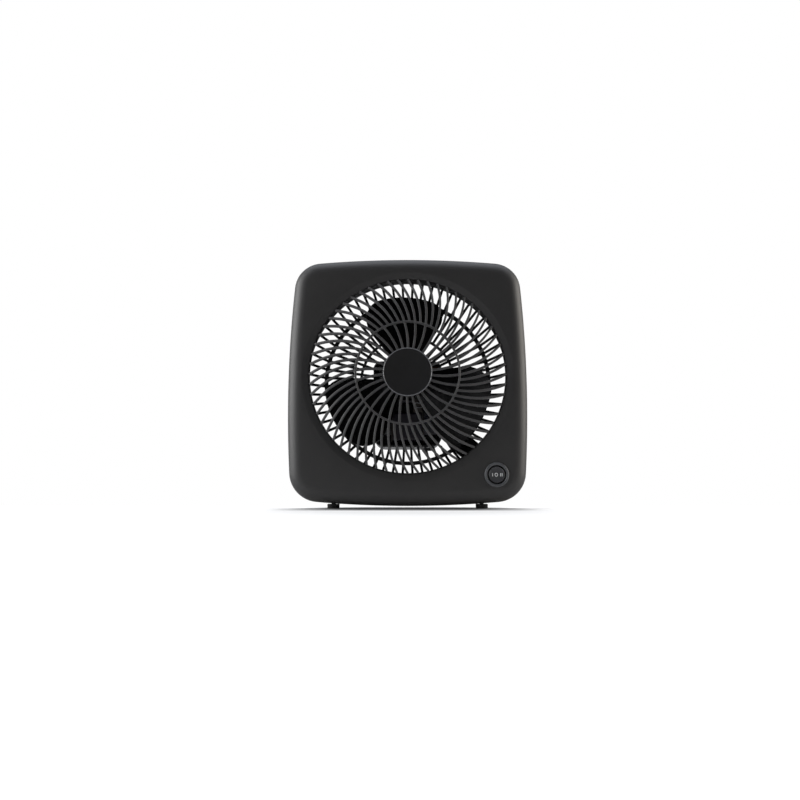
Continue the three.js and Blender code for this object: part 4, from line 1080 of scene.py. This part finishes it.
for piece in (motor_cover, cover_bosses):
    hand_over(piece, "base", "grille_plastic", "motor_cover")

# %% [markdown]
# The channel's cover is a separate plate that follows the same bend. It is the dark band that shows
# through the front grille.

# %% Wire cover
end = THROAT - 1.2
cover = [
    (50.8, PLANE - 4.7),
    (BOWL_BEND, PLANE - 4.7),
    (end, bowl_depth(end) - 4.7),
    (end, bowl_depth(end) - 3.3),
    (BOWL_BEND, PLANE - 3.3),
    (50.8, PLANE - 3.3),
]
wire_cover = channel_bar("wire_cover_plate", cover)
soften(wire_cover, 0.3)
hand_over(wire_cover, "base", "grille_plastic", "wire_cover")

# %% [markdown]
# Switch. The bezel is a ring with a round shoulder, and its barrel goes back through the shell. Its
# inner slope and the hollow behind it get the dark plastic, a painted shade round the rocker.

# %% Switch bezel
SWITCH_PLACE = Matrix.Translation((SWITCH[0], 0, SWITCH[1]))
SLOPE_END, SLOPE_FRONT = 8.9, -1.2
bm = bmesh.new()
bezel = [
    (0, 10), (8.5, 10), (8.5, -0.9), (8.9, -1.3), (9.4, -1.75), (10.1, -2.0),
    (10.7, -1.9), (11.2, -1.45), (11.5, -0.9), (11.5, -0.35), (11.35, -0.3), (9.9, -0.3),
    (9.9, 17), (0, 17),
]
spun(bm, bezel, 96)
moved(bm, SWITCH_PLACE)
switch_body = settle(bm, "switch_bezel", bezel_plastic)
# The inner slope and the hollow get the dark plastic as painted shade in the gap round the rocker.
switch_body.data.materials.append(dark_rib_plastic)
for face in switch_body.data.polygons:
    middle = in_fan(face.center)
    reach = hypot(middle.x - SWITCH[0], middle.z - SWITCH[1])
    if middle.y > SLOPE_FRONT and reach < SLOPE_END:
        face.material_index = 1
hand_over(switch_body, "base", "switch_plastic", "switch_body")

# %% [markdown]
# The rocker is a shallow button that tilts about an upright pin: O is off, I and II are the two
# speeds. Its marks ride on the same body as the button, so that they tilt with it.

# %% Switch rocker
PIN_DEPTH, PIN_RADIUS, PIN_LENGTH = 2.5, 1, 15.8
bm = bmesh.new()
rocker = [
    (0, -1.6), (3.5, -1.66), (6.2, -1.85), (6.9, -1.9), (7.3, -1.6), (7.4, -1.2),
    (7.4, 0), (5.2, 6), (0, 6),
]
spun(bm, rocker, 72)
rod(bm, PIN_RADIUS, PIN_LENGTH, 20, Matrix.Translation((0, PIN_DEPTH, 0)))
moved(bm, SWITCH_PLACE)
switch_rocker = settle(bm, "switch_button", rocker_plastic)
hand_over(switch_rocker, "rocker", "switch_plastic", "switch_rocker")

# %% [markdown]
# The marks are a thin layer of print. The I and II are flat bars and the O is a small ring, drawn a
# little higher than wide. They stand just proud of the button, so that they show.

# %% Switch marks
bm = bmesh.new()
for across in (-4.1, 3.4, 4.8):
    turn = Matrix.Translation((across, -1.74, 0)) @ Matrix.Diagonal((0.55, 0.16, 3.0, 1))
    bmesh.ops.create_cube(bm, size=1, matrix=turn)
known = set(bm.verts)
spun(bm, [(1.05, -1.72), (1.55, -1.72), (1.55, -1.58), (1.05, -1.58)], 40, closed=True)
stretch = Matrix.Translation((-0.6, 0, 0)) @ Matrix.Diagonal((0.95, 1, 1.1, 1))
moved(bm, stretch, known)
moved(bm, SWITCH_PLACE)
switch_marks = settle(bm, "switch_marks", mark_paint)
hand_over(switch_marks, "rocker", "switch_plastic")

# %% [markdown]
# Feet: four rubber buttons with a stem that snaps into the shell.

# %% Feet
FOOT_RADIUS, STEM_RADIUS, STEM_LENGTH, FOOT_GAP = 5.7, 1.9, 4.4, 0.3
for name, side, (across, depth) in (
    ("front_left", -1, FRONT_FEET),
    ("front_right", 1, FRONT_FEET),
    ("rear_left", -1, REAR_FEET),
    ("rear_right", 1, REAR_FEET),
):
    bm = bmesh.new()
    top = underside(across - FOOT_RADIUS) + AXIS_HEIGHT * 1000 - FOOT_GAP
    pad = [(0, 0), (4.8, 0), (5.35, 0.2), (5.65, 0.6), (FOOT_RADIUS, 1.1), (FOOT_RADIUS, top)]
    tip = top + STEM_LENGTH
    stem = [(STEM_RADIUS, top), (STEM_RADIUS, tip), (0, tip)]
    spun(bm, pad + stem, 48)
    moved(bm, Matrix.Rotation(pi / 2, 4, "X"))
    moved(bm, Matrix.Translation((side * across, depth, -AXIS_HEIGHT * 1000)))
    piece = settle(bm, f"foot_pad_{name}", foot_rubber)
    soften(piece, 0.2)
    hand_over(piece, "base", "rubber", f"foot_{name}")

# %% [markdown]
# The bobbin has a small terminal block above its coil, in front of the core. Two tinned pins lie on
# it, where the winding's ends are soldered, and an eyelet sits above them. They show through the
# grille as small bright lines below the hub.

# %% Terminal block
BLOCK_ACROSS, SOLDER_PIN, SOLDER_LENGTH = 10.6, 0.45, 7.5
terminal_block = block(
    "terminal_block", (BLOCK_ACROSS, 47.9, -23.2), (10, 7.4, 15.4), bobbin_nylon
)
soften(terminal_block, 0.8, 3)
hand_over(terminal_block, "base", "nylon")
bm = bmesh.new()
for up in (-21.8, -26.3):
    turn = Matrix.Translation((BLOCK_ACROSS, 44, up)) @ Matrix.Rotation(pi / 2, 4, "Y")
    rod(bm, SOLDER_PIN, SOLDER_LENGTH, 12, turn)
known = set(bm.verts)
spun(bm, [(1.1, 43.6), (1.8, 43.6), (1.8, 44.4), (1.1, 44.4)], 24, closed=True)
moved(bm, Matrix.Translation((13.2, 0, -17.6)), known)
pins = settle(bm, "terminal_pins", zinc_steel)
hand_over(pins, "base", "steel")

# %% [markdown]
# The motor, the screws and the leads keep their CAD shapes. Each gets its real finish, and all but
# the leads a fine bevel so that their edges catch light.

# %% Finishes of the CAD nodes
finish_of = {
    "rotor_retainer": zinc_steel,
    "motor_shaft": zinc_steel,
    "rotor_core": core_steel,
    "thrust_washer": bobbin_nylon,
    "stator_core": core_steel,
    "shading_ring": bare_copper,
    "coil_bobbin": bobbin_nylon,
    "stator_coil": coil_tape,
    "front_bracket": cast_zinc,
    "rear_bracket": cast_zinc,
    "front_bush": bush_bronze,
    "rear_bush": bush_bronze,
    "motor_screw": zinc_steel,
    "switch_terminal": zinc_steel,
    "lead_": lead_vinyl,
    "cord_inlet_bush": foot_rubber,
    "housing_screw": zinc_steel,
}
dressed = 0
for name, node in frame["nodes"].items():
    for start, finish in finish_of.items():
        if name.startswith(start):
            node.data.materials.clear()
            node.data.materials.append(finish)
            weld = node.modifiers.new("weld", "WELD")
            weld.merge_threshold = 0.00001
            if not name.startswith("lead_"):
                soften(node, 0.2, 1)
            dressed += 1
print("CAD nodes dressed:", dressed)

# %% [markdown]
# The studio is a sheet of white paper on a table. The camera stands so low that it sees the fan's
# shadow as a few thin rows, dark under the body and pale in front of it. An oval of painted shadow
# darkens the paper round the feet, and a faint glow, which only the camera sees, lifts the rest
# of it to white. The glow is weaker round the fan, which paints a soft shade there. All other
# rays meet plain pale paper, so neither the painted shadow nor the glow puts light on the fan.

# %% Floor
bm = bmesh.new()
floor_place = Matrix.Translation((0, -1.5, 0)) @ Matrix.Diagonal((3, 2.0, 1, 1))
bmesh.ops.create_grid(bm, x_segments=1, y_segments=1, size=1, matrix=floor_place)
floor_mesh = bpy.data.meshes.new("floor")
bm.to_mesh(floor_mesh)
bm.free()
floor = bpy.data.objects.new("floor", floor_mesh)
scene.collection.objects.link(floor)
print("floor corners:", len(floor_mesh.vertices))

# %% Paper and painted shadow
floor_paper = bpy.data.materials.new("white_paper_sweep")
floor_paper.use_nodes = True
tree = floor_paper.node_tree
tree.nodes.clear()
place = add_node(tree, "ShaderNodeTexCoord")
PAPER, PLAIN_PAPER = "c4c4c4", "e0e0e0"


def oval(reach_x, reach_y, square=False):
    """Distance from the fan's foot, where 1 is the edge of an oval, or of a squarer one."""
    spot = add_node(
        tree,
        "ShaderNodeMapping",
        {"Vector": place.outputs["Object"]},
        Scale=(1 / reach_x, 1 / reach_y, 0),
    ).outputs["Vector"]
    if square:
        spot = add_node(
            tree, "ShaderNodeVectorMath", {0: spot, 1: spot}, operation="MULTIPLY"
        ).outputs["Vector"]
    return add_node(tree, "ShaderNodeVectorMath", {0: spot}, operation="LENGTH").outputs["Value"]


# The painted dark core of the shadow, and the paper's fibres in it.
# Fibres are drawn about 1 mm long.
core = add_node(
    tree,
    "ShaderNodeMapRange",
    {"Value": oval(0.114, 0.228, True)},
    From_Min=0.3,
    From_Max=1.0,
    To_Min=0.11,
    To_Max=1.0,
)
fibres = add_node(tree, "ShaderNodeTexNoise", {"Vector": place.outputs["Object"]}, Scale=900.0)
grain = add_node(
    tree, "ShaderNodeMapRange", {"Value": fibres.outputs["Fac"]}, To_Min=0.97, To_Max=1.0
)
shade = add_node(
    tree,
    "ShaderNodeMath",
    {0: core.outputs["Result"], 1: grain.outputs["Result"]},
    operation="MULTIPLY",
)
# The paper's colour, darkened by the painted shadow.
tint = add_node(
    tree, "ShaderNodeVectorMath", {"Scale": shade.outputs["Value"]}, operation="SCALE"
)
tint.inputs[0].default_value = to_linear(PAPER)[:3]
paper = add_node(tree, "ShaderNodeBsdfDiffuse", {"Color": tint.outputs["Vector"]})

# %% [markdown]
# The paper's glow is weak near the feet, which paints a soft shade round the fan, stronger outside
# the shadow and full where the paper ends, so that the paper's far end doesn't show as a line.

# %% Glow of the paper
lift = add_node(
    tree,
    "ShaderNodeMapRange",
    {"Value": oval(0.15, 0.5)},
    From_Min=0.65,
    From_Max=1.15,
    To_Min=0.19,
    To_Max=0.64,
)
far = add_node(
    tree,
    "ShaderNodeMapRange",
    {"Value": oval(1, 1)},
    From_Min=0.8,
    From_Max=1.6,
    To_Min=0,
    To_Max=0.36,
)
raised = add_node(
    tree, "ShaderNodeMath", {0: lift.outputs["Result"], 1: far.outputs["Result"]}, operation="ADD"
)
# The painted shadow's core dims the glow as well.
light = add_node(
    tree,
    "ShaderNodeMath",
    {0: core.outputs["Result"], 1: raised.outputs["Value"]},
    operation="MULTIPLY",
)
WHITE = (1, 1, 1, 1)
glow = add_node(tree, "ShaderNodeEmission", {"Strength": light.outputs["Value"]}, Color=WHITE)
both = add_node(
    tree, "ShaderNodeAddShader", {0: paper.outputs["BSDF"], 1: glow.outputs["Emission"]}
)
plain = add_node(tree, "ShaderNodeBsdfDiffuse", Color=to_linear(PLAIN_PAPER))


def by_ray(tree, others, seen):
    """One shader for the camera's rays and another for all the other rays."""
    path = add_node(tree, "ShaderNodeLightPath")
    links = {"Fac": path.outputs["Is Camera Ray"], 1: others, 2: seen}
    return add_node(tree, "ShaderNodeMixShader", links).outputs["Shader"]


surface = by_ray(tree, plain.outputs["BSDF"], both.outputs["Shader"])
add_node(tree, "ShaderNodeOutputMaterial", {"Surface": surface})
floor_mesh.materials.append(floor_paper)
print("paper nodes:", len(tree.nodes))

# %% [markdown]
# The world is white where the camera looks past the paper, and nearly dark for all other rays. So
# it is the lamps that shape the body. A big soft one on each side draws its bright edges, one above
# draws its top edge, and a weak one by the camera lifts the face.

# %% World
DIM = 0.03
world = bpy.data.worlds.new("studio")
scene.world = world
world.use_nodes = True
tree = world.node_tree
tree.nodes.clear()
dim = add_node(tree, "ShaderNodeBackground", Color=WHITE, Strength=DIM)
white = add_node(tree, "ShaderNodeBackground", Color=WHITE, Strength=1.0)
surface = by_ray(tree, dim.outputs["Background"], white.outputs["Background"])
add_node(tree, "ShaderNodeOutputWorld", {"Surface": surface})
print("world nodes:", len(tree.nodes))

# %% Lamps
def soft_light(name, place, target, size, watts, tint="ffffff"):
    """A rectangular studio light that faces a point."""
    data = bpy.data.lights.new(name, "AREA")
    data.shape = "RECTANGLE"
    data.size, data.size_y = size
    data.energy = watts
    data.color = to_linear(tint)[:3]
    lamp = bpy.data.objects.new(name, data)
    lamp.location = place
    lamp.rotation_euler = (Vector(target) - Vector(place)).to_track_quat("-Z", "Y").to_euler()
    scene.collection.objects.link(lamp)
    print(name, watts, "W")


heart = (0, 0, 0.12)
soft_light("left_light", (-1.28, -0.14, 0.52), heart, (1.2, 0.95), 25)
soft_light("right_light", (1.3, 0.02, 0.52), heart, (0.95, 0.9), 18, "fffaf2")
soft_light("top_light", (0, 0.03, 1.3), heart, (1.8, 1.1), 15.5, "f2f6ff")
soft_light("front_light", (-0.3, -1.7, 1.1), heart, (1.4, 1.0), 0.4)
scene.view_settings.view_transform = "Standard"
